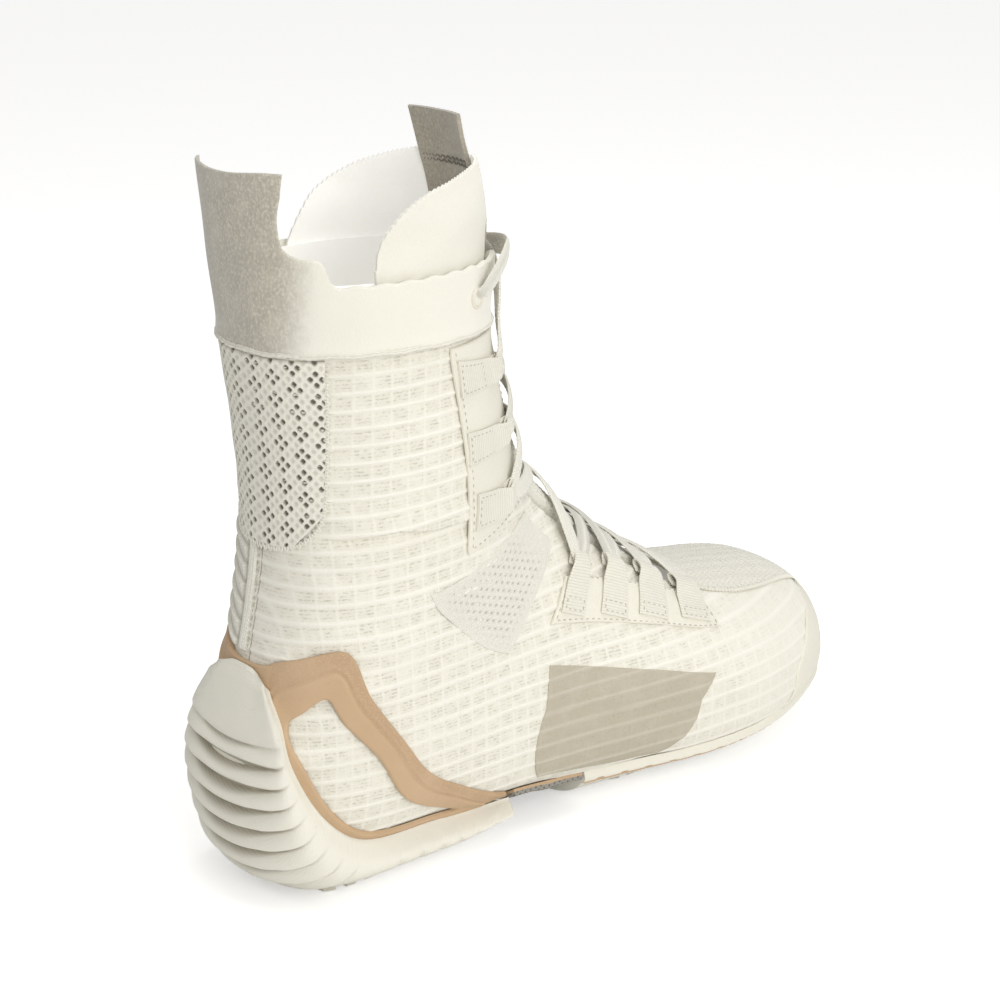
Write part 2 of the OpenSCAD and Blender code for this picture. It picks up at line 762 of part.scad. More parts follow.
tongue_split = 12.6;
tongue_low_half = 31;
tongue_high_half = 19;
tongue_rise_start = 11.6;
function tongue_half(s) = mix(tongue_low_half, tongue_high_half, ramp(s, 10.8, 11.5));
function tongue_rise(s) = mix(TONGUE_OUT, 0, ramp(s, tongue_rise_start, tongue_split));
module tongue_piece(s0, s1, rows) {
    cols = 7;
    grid = [for (i = [0:rows - 1])
        let(s = mix(s0, s1, i / (rows - 1)), half = tongue_half(s))
        [for (j = [0:cols - 1]) [s, mix(180 - half, 180 + half, j / (cols - 1))]]];
    slab(
        [for (line = grid) [for (q = line) surf(q[0], q[1], tongue_rise(q[0]) - tongue_t)]],
        [for (line = grid) [for (q = line) surf(q[0], q[1], tongue_rise(q[0]))]]
    );
}
module tongue() {
    color(knit_white)
    tongue_piece(vamp_split + seam_s, tongue_split, 24);
}
tongue_end = 13.65;
module tongue_top() {
    color(tab_grey)
    tongue_piece(tongue_split + seam_s, tongue_end, 5);
}
module tongue_label() {
    stations = [12.95, 13.5];
    angles = [166, 194];
    color(tan)
    side_patch(lateral, stations, angles, 3, 4, OVERLAY);
}
module tongue_pull_tab() {
    stations = [tongue_end + seam_s, 14.2];
    angles = [160, 200];
    tab_t = 1.4;
    color(tab_grey)
    side_patch(lateral, stations, angles, 4, 6, [-tongue_t, -tongue_t + tab_t]);
}
// Lace from the top loops up to the band, and back along it to the eyelets
module collar_lace() {
    lace_drop = 0.12;
    eyelet_clear = 4;
    lace_end = eyelet_s - lace_drop;
    half_s = lace_w / 2 / upper_pitch;
    eyelet_side = eyelet_t + eyelet_clear;
    color(cream) {
        crossing(UPPER_LOOPS[len(UPPER_LOOPS) - 1][1], lace_end, upper_pitch);
        for (side = [lateral, medial])
            quad_patch(sided(side, strap([eyelet_s, eyelet_side], [lace_end, lace_in + 1], half_s)),
                3, 7, LACE_LOW);
    }
}
// Lace ends, tucked down inside the collar
module aglets() {
    aglet_l = 16;
    aglet_r = 1.5;
    aglet_s = 11.4;
    aglet_t = 136;
    inset = 4;
    color(cream)
    for (side = [lateral, medial])
        translate(surf(aglet_s, side * aglet_t, LINING[0] - inset))
        cylinder(h = aglet_l, r = aglet_r, $fn = 24);
}

heel_cup();
heel_tread();
midfoot_shank();
forefoot_outsole();
forefoot_tread();
sole_flex_web();
toe_outsole();
midsole_wedge();
strobel_board();
sockliner();
heel_counter();
toe_puff();
toe_box();
toe_rand();
vamp_lateral();
vamp_medial();
vamp_knit();
vamp_lining();
quarter_lateral();
quarter_medial();
foot_lining();
heel_cage();
side_film_lateral();
side_film_medial();
instep_insert_lateral();
instep_insert_medial();
lower_eyestay_lateral();
lower_eyestay_medial();
lower_loops_lateral();
lower_loops_medial();
lower_lace();
ankle_lace();
upper_lace();
collar_lace();
aglets();
ankle_panel_lateral();
ankle_panel_medial();
achilles_strip();
ankle_lining();
back_mesh_panel();
shaft_lateral();
shaft_medial();
collar_foam();
shaft_lining();
upper_eyestay_lateral();
upper_eyestay_medial();
upper_loops_lateral();
upper_loops_medial();
collar_band();
collar_piping();
collar_eyelets();
collar_wing_lateral();
collar_wing_medial();
heel_pull_tab();
tongue();
tongue_top();
tongue_label();
tongue_pull_tab();
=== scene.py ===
import json
import math

import bmesh
import bpy
import numpy as np
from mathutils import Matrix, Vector


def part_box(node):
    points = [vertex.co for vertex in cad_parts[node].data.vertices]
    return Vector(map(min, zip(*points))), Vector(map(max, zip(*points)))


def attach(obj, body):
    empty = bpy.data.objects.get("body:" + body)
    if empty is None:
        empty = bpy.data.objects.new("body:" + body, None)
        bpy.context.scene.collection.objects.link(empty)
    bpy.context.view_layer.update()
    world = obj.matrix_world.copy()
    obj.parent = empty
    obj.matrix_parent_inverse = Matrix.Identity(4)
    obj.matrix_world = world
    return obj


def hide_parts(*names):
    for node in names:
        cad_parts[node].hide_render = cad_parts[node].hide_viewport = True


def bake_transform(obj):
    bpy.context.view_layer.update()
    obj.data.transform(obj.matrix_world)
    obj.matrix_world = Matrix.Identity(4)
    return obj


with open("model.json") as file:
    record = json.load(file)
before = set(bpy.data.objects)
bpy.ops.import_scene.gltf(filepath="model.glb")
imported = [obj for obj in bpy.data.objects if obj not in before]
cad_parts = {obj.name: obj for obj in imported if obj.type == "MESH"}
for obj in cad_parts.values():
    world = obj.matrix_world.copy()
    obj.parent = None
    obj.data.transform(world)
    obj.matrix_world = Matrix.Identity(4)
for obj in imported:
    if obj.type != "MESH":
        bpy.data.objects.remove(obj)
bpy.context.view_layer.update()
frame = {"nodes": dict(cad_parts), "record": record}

MM = 0.001

# ------------------------------------------------------------------ the last
# The boot's shape: one station per row, from the toe tip to above the collar, in mm.
# station, back or bottom x, z, front or top x, z, half width, centre y, widest, squareness
LAST = np.array([
    [-0.3, 241.5, 27, 241, 33, 4, 3, 0.50, 1.00],
    [0.0, 240, 20, 238, 40, 15, 3, 0.45, 0.90],
    [0.5, 233, 14, 230, 52, 29, 2, 0.38, 0.75],
    [1.0, 218, 10, 212, 62, 41, 0, 0.32, 0.65],
    [2.0, 182, 7, 182, 69, 50, -3, 0.27, 0.52],
    [3.0, 145, 7, 150, 76, 50, -4, 0.26, 0.50],
    [4.0, 102, 9, 124, 91, 45, -3, 0.27, 0.52],
    [5.0, 58, 11, 106, 105, 40, -1, 0.27, 0.55],
    [6.0, 16, 12, 92, 118, 38, 0, 0.28, 0.58],
    [7.0, -28, 16, 81, 130, 37, 0, 0.36, 0.65],
    [8.0, -49, 48, 74, 142, 36, 0, 0.44, 0.85],
    [9.0, -40, 90, 69, 154, 35, 0, 0.50, 1.00],
    [10.0, -33, 126, 65, 167, 36, 0, 0.50, 1.00],
    [11.0, -33, 160, 61, 181, 37, 0, 0.50, 1.00],
    [12.0, -37, 198, 58, 196, 38, 0, 0.50, 1.00],
    [13.0, -41, 231, 61, 230, 37, 0, 0.50, 1.00],
    [14.0, -44, 263, 53, 262, 36, 0, 0.50, 1.00],
    [14.5, -45, 278, 49, 277, 35, 0, 0.50, 1.00],
])
KEYS = LAST[:, 0]
SIDE_POWER = 0.85    # squareness of the sections at the sides
THROAT = 157.0       # angle of the edge of the throat, where the lacing begins
FEATHER = 49.0       # angle of the edge between the upper and the sole


def station_slopes():
    """Rate of change of the section values at each station."""
    n = len(KEYS)
    lo, hi = np.maximum(np.arange(n) - 1, 0), np.minimum(np.arange(n) + 1, n - 1)
    return (LAST[hi, 1:] - LAST[lo, 1:]) / (KEYS[hi] - KEYS[lo])[:, None]


SLOPES = station_slopes()
SCALE = np.ones(3)


def last_row(s):
    """The eight section values at stations s, by a smooth cubic."""
    s = np.clip(s, KEYS[0], KEYS[-1])
    i = np.clip(np.searchsorted(KEYS, s, side="right") - 1, 0, len(KEYS) - 2)
    step = (KEYS[i + 1] - KEYS[i])[..., None]
    u = (s - KEYS[i])[..., None] / step
    return ((2 * u**3 - 3 * u**2 + 1) * LAST[i, 1:] + (u**3 - 2 * u**2 + u) * SLOPES[i] * step
            + (3 * u**2 - 2 * u**3) * LAST[i + 1, 1:] + (u**3 - u**2) * SLOPES[i + 1] * step)


def on_last(s, t):
    """Point of the last at station s and angle t (degrees; 0 back or bottom, 180 front or top)."""
    s, t = np.broadcast_arrays(np.asarray(s, float), np.asarray(t, float))
    r = last_row(s)
    a = np.radians(t)
    c = -np.cos(a)
    lift = np.where(c < 0, -np.abs(c) ** r[..., 7], c)
    h = (lift + 1) / 2
    h = h + (r[..., 6] - 0.5) * 2 * h * (1 - h)
    y = r[..., 5] - r[..., 4] * np.sign(np.sin(a)) * np.abs(np.sin(a)) ** SIDE_POWER
    x = r[..., 0] + (r[..., 2] - r[..., 0]) * h
    z = r[..., 1] + (r[..., 3] - r[..., 1]) * h
    return np.stack([x, y, z], -1) * SCALE


def unit(v):
    """Vectors scaled to length one."""
    return v / np.maximum(np.linalg.norm(v, axis=-1, keepdims=True), 1e-9)


def normal(s, t):
    """Outward direction of the last at station s and angle t."""
    s, t = np.asarray(s, float), np.asarray(t, float)
    along = on_last(s + 0.02, t) - on_last(s - 0.02, t)
    around = on_last(s, t + 1) - on_last(s, t - 1)
    return unit(np.cross(around, along))


def surf(s, t, d):
    """Point at distance d outside the last, in mm."""
    p = on_last(s, t)
    return p + (np.asarray(d, float) * np.ones(p.shape[:-1]))[..., None] * normal(s, t)


def fit_to_cad():
    """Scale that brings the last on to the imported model: the tongue label gives x and z,
    the collar piping gives the width."""
    lo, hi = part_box("tongue_label")
    s, t = np.meshgrid(np.linspace(12.95, 13.5, 12), np.linspace(166, 194, 12), indexing="ij")
    label = surf(s, t, 1.2)
    pipe_lo, pipe_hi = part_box("collar_piping")
    pipe = surf(12.03, np.linspace(-THROAT, THROAT, 200), 3.4)
    return np.array([hi.x / MM / label[..., 0].max(), (pipe_hi.y - pipe_lo.y) / MM / np.ptp(pipe[..., 1]),
                     (hi.z + lo.z) / MM / (label[..., 2].max() + label[..., 2].min())])


SCALE = fit_to_cad()


def ramp(x, a, b):
    """Smooth step from 0 at a to 1 at b."""
    u = np.clip((np.asarray(x, float) - a) / (b - a), 0, 1)
    return u * u * (3 - 2 * u)


def zone(x, a, b, c, d):
    """1 between b and c, fading to 0 at a and at d."""
    return ramp(x, a, b) * (1 - ramp(x, c, d))


def table(x, rows):
    """Straight-line lookup of x in rows of [x, value]."""
    rows = np.asarray(rows, float)
    return np.interp(x, rows[:, 0], rows[:, 1])


def bump(x, width):
    """Bell curve with its top of 1 at 0."""
    return np.exp(-((x / width) ** 2))


WAVES, WAVE_SUM = 9, 4.2


def wave_noise(p, size, seed):
    """Smooth noise from -1 to 1 over points p in mm, with features about size mm."""
    rng = np.random.default_rng(seed)
    out = np.zeros(p.shape[:-1])
    for _ in range(WAVES):
        k = rng.normal(size=3)
        k *= 2 * math.pi / size * rng.uniform(0.55, 1.5) / np.linalg.norm(k)
        out = out + np.sin(p @ k + rng.uniform(0, 6.28))
    return out / WAVE_SUM


# ------------------------------------------------------------------ mesh tools
SHARP_ANGLE = 48.0


def unit_grid(n, m):
    """Two (n, m) grids that run from 0 to 1 down the rows and along them."""
    return np.meshgrid(np.linspace(0, 1, n), np.linspace(0, 1, m), indexing="ij")


def make_object(name, verts, faces, material, uv=None, shade=None):
    """A closed, smooth-shaded mesh object from points in mm."""
    verts = np.asarray(verts, float) * MM
    mesh = bpy.data.meshes.new(name)
    faces = np.asarray(faces)
    k = faces.shape[1]
    mesh.vertices.add(len(verts))
    mesh.vertices.foreach_set("co", verts.astype(np.float32).ravel())
    mesh.loops.add(len(faces) * k)
    mesh.loops.foreach_set("vertex_index", faces.astype(np.int32).ravel())
    mesh.polygons.add(len(faces))
    mesh.polygons.foreach_set("loop_start", np.arange(0, len(faces) * k, k, dtype=np.int32))
    mesh.update(calc_edges=True)
    mesh.validate()
    rest = mesh.attributes.new("rest", "FLOAT_VECTOR", "POINT")
    rest.data.foreach_set("vector", verts.astype(np.float32).ravel())
    cloth = mesh.attributes.new("cloth", "FLOAT_VECTOR", "POINT")
    flat = np.zeros((len(verts), 3), np.float32)
    if uv is not None:
        flat[:, :2] = np.asarray(uv)
        layer = mesh.uv_layers.new(name="UVMap")
        index = np.zeros(len(mesh.loops), np.int32)
        mesh.loops.foreach_get("vertex_index", index)
        layer.data.foreach_set("uv", (flat[index, :2] * MM * 10).astype(np.float32).ravel())
    cloth.data.foreach_set("vector", flat.ravel())
    shade = np.zeros(len(verts)) if shade is None else np.asarray(shade)
    tone = mesh.attributes.new("shade", "FLOAT", "POINT")
    tone.data.foreach_set("value", shade.astype(np.float32).ravel())
    bm = bmesh.new()
    bm.from_mesh(mesh)
    bmesh.ops.recalc_face_normals(bm, faces=bm.faces)
    bm.to_mesh(mesh)
    bm.free()
    mesh.polygons.foreach_set("use_smooth", np.ones(len(mesh.polygons), bool))
    mesh.set_sharp_from_angle(angle=math.radians(SHARP_ANGLE))
    obj = bpy.data.objects.new(name, mesh)
    bpy.context.scene.collection.objects.link(obj)
    mesh.materials.append(material)
    return obj


def grid_faces(n, m, base=0, ring=False):
    """Quads of an n by m grid of vertices; a ring also joins its last column to its first."""
    i, j = np.meshgrid(np.arange(n - 1), np.arange(m if ring else m - 1), indexing="ij")
    j1 = (j + 1) % m
    return np.stack([i * m + j, (i + 1) * m + j, (i + 1) * m + j1, i * m + j1], -1).reshape(-1, 4) + base


def closed_shell(up, low, ring=False):
    """Vertices and quads of the solid between two (n, m, 3) grids."""
    n, m = up.shape[:2]
    size = n * m
    idx = np.arange(size).reshape(n, m)
    parts = [grid_faces(n, m, 0, ring), grid_faces(n, m, size, ring)[:, ::-1]]

    def wall(line):
        return np.stack([line[:-1], line[1:], line[1:] + size, line[:-1] + size], -1)

    for line in (idx[0], idx[-1]):
        parts.append(wall(np.append(line, line[0]) if ring else line))
    if not ring:
        parts += [wall(idx[:, 0]), wall(idx[:, -1])]
    return np.concatenate([up.reshape(-1, 3), low.reshape(-1, 3)]), np.concatenate(parts)


def arcs(points):
    """Distance along the rows (u, from the middle) and down the columns (v) of a grid."""
    du = np.linalg.norm(np.diff(points, axis=1), axis=2)
    dv = np.linalg.norm(np.diff(points, axis=0), axis=2)
    u = np.concatenate([np.zeros((len(points), 1)), np.cumsum(du, 1)], 1)
    v = np.concatenate([np.zeros((1, points.shape[1])), np.cumsum(dv, 0)], 0)
    return u, v


def rounded(points, radius, sides, ring=False):
    """Drop of the outer face near the borders, for a rolled edge."""
    u, v = arcs(points)
    far = np.full(u.shape, 1e3)
    for key, value in (("n", v[-1:] - v), ("s", v), ("w", u), ("e", u[:, -1:] - u)):
        if key in sides and not (ring and key in "we"):
            far = np.minimum(far, value)
    x = np.clip(1 - far / radius, 0, 0.98)
    return radius * (1 - np.sqrt(1 - x * x))


def lines(lo, hi, count, edge=0.0):
    """Values from lo to hi with extra ones near both ends; edge is the share they cover."""
    base = np.linspace(0, 1, count)
    if edge:
        extra = np.array([0.1, 0.3, 0.6, 1.0]) * edge
        base = np.unique(np.concatenate([base, extra, 1 - extra]).round(5))
    return lo + (hi - lo) * base


def rect(s0, s1, n, t0, t1, m, edge_s=0.0, edge_t=0.0):
    """Grids of stations s0 to s1 and angles t0 to t1."""
    return np.meshgrid(lines(s0, s1, n, edge_s), lines(t0, t1, m, edge_t), indexing="ij")


def quad(c, n, m, edge=0.0):
    """Grid over a four-cornered patch: low-low, high-low, low-high, high-high corners."""
    c = np.asarray(c, float)
    U, V = np.meshgrid(lines(0, 1, n, edge), lines(0, 1, m, edge), indexing="ij")
    return [(c[0, k] * (1 - U) + c[1, k] * U) * (1 - V) + (c[2, k] * (1 - U) + c[3, k] * U) * V
            for k in (0, 1)]


def panel(name, S, T, outer, inner, material, edge=0.5, sides="nsew", relief=None, ring=False,
          follow=False, shade=None, keep=1.0, inner_tone=None):
    """A sheet on the last as a closed solid, between the distances inner and outer.
    relief(S, T, P) adds height to the outer face, and to the inner one too with follow.
    shade(S, T, P) gives the tone value that the materials read; inner_tone sets it inside.
    The edges on the given sides are rolled by a radius of edge mm, less where keep is low."""
    P, N = on_last(S, T), normal(S, T)
    height = np.zeros(S.shape) if relief is None else relief(S, T, P)
    top = outer + height
    low = inner + (height if follow else 0) + np.zeros(S.shape)
    if edge:
        top = top - np.minimum(rounded(P, edge, sides, ring), (top - low) * 0.92) * keep
    verts, faces = closed_shell(P + top[..., None] * N, P + low[..., None] * N, ring)
    tone = np.zeros(S.shape) if shade is None else shade(S, T, P)
    uv = np.stack(arcs(P), -1).reshape(-1, 2)
    low_tone = tone if inner_tone is None else tone * 0 + inner_tone
    return make_object(name, verts, faces, material, np.concatenate([uv, uv]),
                       np.concatenate([tone.ravel(), low_tone.ravel()]))


def sheet(name, C, half, material, relief=0.0):
    """A ribbon through the grid of centre points C, half thick to each side, lens-edged."""
    N = unit(np.cross(np.gradient(C, axis=0), np.gradient(C, axis=1)))
    w = np.linspace(-1, 1, C.shape[1])
    up = half * np.sqrt(np.clip(1 - np.abs(w) ** 6 * 0.95, 0, 1))[None, :] + relief
    up = up[..., None] * np.ones((*C.shape[:2], 1))
    verts, faces = closed_shell(C + N * up, C - N * up)
    uv = np.stack(arcs(C), -1).reshape(-1, 2)
    return make_object(name, verts, faces, material, np.concatenate([uv, uv]))


def smooth_curve(points, per=10, closed=False):
    """Catmull-Rom curve through the points."""
    p = np.asarray(points, float)
    if closed:
        ext = np.concatenate([p[-1:], p, p[:2]])
        count = len(p)
    else:
        ext = np.concatenate([2 * p[:1] - p[1:2], p, 2 * p[-1:] - p[-2:-1]])
        count = len(p) - 1
    u = np.linspace(0, 1, per, endpoint=False)[:, None]
    out = []
    for i in range(count):
        a, b, c, d = ext[i:i + 4]
        square, cube = 2 * a - 5 * b + 4 * c - d, 3 * b - a - 3 * c + d
        out.append(0.5 * (2 * b + (c - a) * u + square * u**2 + cube * u**3))
    out = np.concatenate(out)
    return out if closed else np.concatenate([out, p[-1:]])


def resample(line, step):
    """Points about every step mm along a polyline, and their distance from its start."""
    seg = np.linalg.norm(np.diff(line, axis=0), axis=1)
    run = np.concatenate([[0], np.cumsum(seg)])
    n = max(int(run[-1] / step), 2)
    at = np.linspace(0, run[-1], n + 1)
    pts = np.stack([np.interp(at, run, line[:, k]) for k in range(line.shape[1])], 1)
    return pts, at


def tube(name, centre, radius, material, sides, up, closed=False, squash=1.0):
    """A cord through the centre points, flattened by squash along the directions up."""
    c = np.asarray(centre, float)
    tan = unit(np.gradient(c, axis=0) if not closed else np.roll(c, -1, 0) - np.roll(c, 1, 0))
    side = unit(np.cross(tan, up))
    top = unit(np.cross(side, tan))
    a = np.linspace(0, 2 * math.pi, sides, endpoint=False)
    rad = np.ones(len(c)) * radius
    ring = (c[:, None] + rad[:, None, None] * (np.cos(a)[None, :, None] * side[:, None]
            + squash * np.sin(a)[None, :, None] * top[:, None]))
    if closed:
        ring = np.concatenate([ring, ring[:1]])
    else:
        ring[0] = c[0] + (ring[0] - c[0]) * 0.3
        ring[-1] = c[-1] + (ring[-1] - c[-1]) * 0.3
    n = len(ring)
    faces = grid_faces(n, sides, 0, True)
    run = np.cumsum(np.linalg.norm(np.diff(ring[:, 0], axis=0), axis=1))
    u = np.repeat(np.concatenate([[0], run]), sides)
    v = np.tile(np.arange(sides) * 2 * math.pi * np.mean(rad) / sides, n)
    return make_object(name, ring.reshape(-1, 3), faces, material, np.stack([u, v], 1))


def along(run, values, at):
    """The row of values at distance at, where run holds the distance of each row."""
    return np.array([np.interp(at, run, values[:, q]) for q in range(3)])


# one stitch along its length: place, share of the full radius
STITCH = np.array([[-0.5, 0.0], [-0.36, 0.8], [0.0, 1.0], [0.36, 0.8], [0.5, 0.0]])
STITCH_SIDES = 6


def thread(name, paths, material, length, gap, radius):
    """Rows of single stitches: each path is a line of points in mm and its outward normals."""
    ang = np.arange(STITCH_SIDES) * 2 * math.pi / STITCH_SIDES
    verts, faces = [], []
    ring = grid_faces(len(STITCH), STITCH_SIDES, 0, True)
    place_along, thick = STITCH[:, 0, None, None], np.maximum(STITCH[:, 1], 0.12)[:, None, None] * radius
    sink = radius * 1.1 * (1 - STITCH[:, 1])[:, None, None]
    for line, out in paths:
        run = np.concatenate([[0], np.cumsum(np.linalg.norm(np.diff(line, axis=0), axis=1))])
        count = int(run[-1] / (length + gap))
        for k in range(count):
            at = (k + 0.5) * run[-1] / count
            c, before, after = (along(run, line, at + shift) for shift in (0, -0.5, 0.5))
            n, t = unit(along(run, out, at)), unit(after - before)
            side = unit(np.cross(t, n))
            long = length * (1 + 0.06 * math.sin(k * 2.3))
            around = side * np.cos(ang)[None, :, None] + n * np.sin(ang)[None, :, None]
            faces.append(ring + STITCH.shape[0] * STITCH_SIDES * len(verts))
            verts.append((c + t * place_along * long + around * thick - n * sink).reshape(-1, 3))
    return make_object(name, np.concatenate(verts), np.concatenate(faces), material)


def seam(points, d, side=1, per=12):
    """A path on the last through [station, angle] points, at distance d, with normals."""
    q = smooth_curve(points, per)
    s, t = q[:, 0], side * q[:, 1]
    return surf(s, t, d), normal(s, t)


def straight(points, d, side=1):
    """Like seam, with straight legs between the points."""
    q = np.asarray(points, float)
    legs = [np.linspace(a, b, 14, endpoint=False) for a, b in zip(q[:-1], q[1:])]
    out = np.concatenate(legs + [q[-1:]])
    return surf(out[:, 0], side * out[:, 1], d), normal(out[:, 0], side * out[:, 1])


def zigzag(path, width, pitch):
    """Turn a path into a zigzag of the given width, one leg every pitch mm."""
    line, out = path
    pts = resample(np.concatenate([line, out], 1), pitch)[0]
    p, n = pts[:, :3], unit(pts[:, 3:])
    side = unit(np.cross(n, unit(np.gradient(p, axis=0))))
    sign = np.where(np.arange(len(p)) % 2, 1.0, -1.0)[:, None]
    p = p + side * sign * width / 2
    return [(p[i:i + 2], n[i:i + 2]) for i in range(len(p) - 1)]


def at_ankle(obj):
    """Bake the transform into a piece that goes with the ankle."""
    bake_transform(obj)


def at_toe(obj):
    """Bake the transform into a piece that goes with the ball of the foot."""
    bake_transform(obj)


def place(obj, how, slot=None, *nodes):
    """Put a piece on its body (a body's name or a function that bakes its transform) and hide the CAD nodes
    it stands for.
    The slot argument is not used."""
    if callable(how):
        how(obj)
    else:
        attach(obj, how)
    if nodes:
        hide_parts(*nodes)
    return obj


# ------------------------------------------------------------------ materials
class Shader:
    """Small helper for building procedural materials out of nodes."""

    def __init__(self, name, color, rough, sheen=0.0):
        self.mat = bpy.data.materials.new(name)
        self.mat.use_nodes = True
        self.tree = self.mat.node_tree
        self.bsdf = self.tree.nodes["Principled BSDF"]
        self.color = self.rgb(color)
        self.bsdf.inputs["Roughness"].default_value = rough
        self.bsdf.inputs["Sheen Weight"].default_value = sheen
        self.bsdf.inputs["Sheen Roughness"].default_value = 0.6
        self.height = None
        self.rest = self.attribute("rest", 1000.0)
        self.cloth = self.attribute("cloth", 1.0)
        node = self.tree.nodes.new("ShaderNodeAttribute")
        node.attribute_name = "shade"
        self.shade = node.outputs["Fac"]

    def link(self, a, b):
        self.tree.links.new(a, b)

    def rgb(self, c):
        """A constant colour."""
        node = self.tree.nodes.new("ShaderNodeRGB")
        node.outputs[0].default_value = (*c, 1)
        return node.outputs[0]

    def attribute(self, name, factor):
        """A vector stored on the mesh, times factor."""
        node = self.tree.nodes.new("ShaderNodeAttribute")
        node.attribute_name = name
        scale = self.tree.nodes.new("ShaderNodeVectorMath")
        scale.operation = "SCALE"
        scale.inputs["Scale"].default_value = factor
        self.link(node.outputs["Vector"], scale.inputs[0])
        return scale.outputs[0]

    def math(self, op, a, b=0.0, c=None):
        """A math node; each value is a number or another node's output."""
        node = self.tree.nodes.new("ShaderNodeMath")
        node.operation = op
        for k, v in enumerate([a, b] + ([c] if c is not None else [])):
            if isinstance(v, (int, float)):
                node.inputs[k].default_value = v
            else:
                self.link(v, node.inputs[k])
        return node.outputs[0]

    def axis(self, vector, k):
        """The x, y or z part of a vector, for k = 0, 1 or 2."""
        node = self.tree.nodes.new("ShaderNodeSeparateXYZ")
        self.link(vector, node.inputs[0])
        return node.outputs[k]

    def noise(self, size, detail, stretch=None):
        """Noise with features of size mm, 0 to 1; stretch scales the three axes."""
        node = self.tree.nodes.new("ShaderNodeTexNoise")
        node.inputs["Scale"].default_value = 1.0 / size
        node.inputs["Detail"].default_value = detail
        node.inputs["Roughness"].default_value = 0.55
        source = self.rest
        if stretch:
            scale = self.tree.nodes.new("ShaderNodeVectorMath")
            scale.operation = "MULTIPLY"
            scale.inputs[1].default_value = stretch
            self.link(source, scale.inputs[0])
            source = scale.outputs[0]
        self.link(source, node.inputs["Vector"])
        return node.outputs["Fac"]

    def cells(self, size):
        """Distance to the nearest of scattered points about size mm apart."""
        node = self.tree.nodes.new("ShaderNodeTexVoronoi")
        node.inputs["Scale"].default_value = 1.0 / size
        self.link(self.rest, node.inputs["Vector"])
        return node.outputs["Distance"]

    def wave(self, value, pitch, shift=0.0):
        """Sine of a coordinate in mm with the given pitch, 0 to 1."""
        turn = self.math("MULTIPLY_ADD", value, 2 * math.pi / pitch, shift)
        return self.math("MULTIPLY_ADD", self.math("SINE", turn), 0.5, 0.5)

    def steps(self, value, lo, hi, a=0.0, b=1.0):
        """Smooth step from a to b while value goes from lo to hi."""
        node = self.tree.nodes.new("ShaderNodeMapRange")
        node.interpolation_type = "SMOOTHSTEP"
        for key, v in (("From Min", lo), ("From Max", hi), ("To Min", a), ("To Max", b)):
            node.inputs[key].default_value = v
        self.link(value, node.inputs["Value"])
        return node.outputs["Result"]

    def tint(self, factor, color, amount=1.0):
        """Mix the colour so far with another by factor times amount."""
        node = self.tree.nodes.new("ShaderNodeMix")
        node.data_type = "RGBA"
        self.link(self.math("MULTIPLY", factor, amount), node.inputs["Factor"])
        self.link(self.color, node.inputs[6])
        node.inputs[7].default_value = (*color, 1)
        self.color = node.outputs[2]
        return self

    def raise_by(self, value, amount):
        """Add value times amount (mm) to the bump height."""
        part = self.math("MULTIPLY", value, amount)
        self.height = part if self.height is None else self.math("ADD", self.height, part)
        return self

    def rough_by(self, value, lo, hi):
        """Let the roughness run from lo to hi with value."""
        self.link(self.steps(value, 0.0, 1.0, lo, hi), self.bsdf.inputs["Roughness"])
        return self

    def glow(self, strength):
        """Painted light: a faint light of its own, so that pale cloth inside the boot, which lies in shade,
        looks lit.
        """
        self.bsdf.inputs["Emission Color"].default_value = (1.0, 0.99, 0.96, 1)
        if isinstance(strength, float):
            self.bsdf.inputs["Emission Strength"].default_value = strength
        else:
            self.link(strength, self.bsdf.inputs["Emission Strength"])

    def done(self):
        """Join colour and bump to the shader and return the material."""
        self.link(self.color, self.bsdf.inputs["Base Color"])
        if self.height is not None:
            node = self.tree.nodes.new("ShaderNodeBump")
            node.inputs["Strength"].default_value = 1.0
            node.inputs["Distance"].default_value = MM
            self.link(self.height, node.inputs["Height"])
            self.link(node.outputs["Normal"], self.bsdf.inputs["Normal"])
        return self.mat


RIB_PITCH, CELL_PITCH = 6.3, 6.5    # ripstop: level cords and upright ones
HEEL_BEND = 42.0                    # radius of the upper round the heel
LACE_WIDTH = 7.4
TAN = (0.545, 0.375, 0.225)
CREAM_RUBBER = (0.81, 0.785, 0.69)


def shaded(color, share):
    """The colour times share."""
    return tuple(min(c * share, 0.85) for c in color)


def soft_dirt(m, size, amount):
    """Slow colour drift and faint handling marks that every soft piece shares."""
    m.tint(m.steps(m.noise(size, 3), 0.45, 0.75), (0.66, 0.63, 0.53), amount)
    m.tint(m.steps(m.noise(size * 0.22, 5), 0.58, 0.74), (0.60, 0.56, 0.46), amount * 0.6)


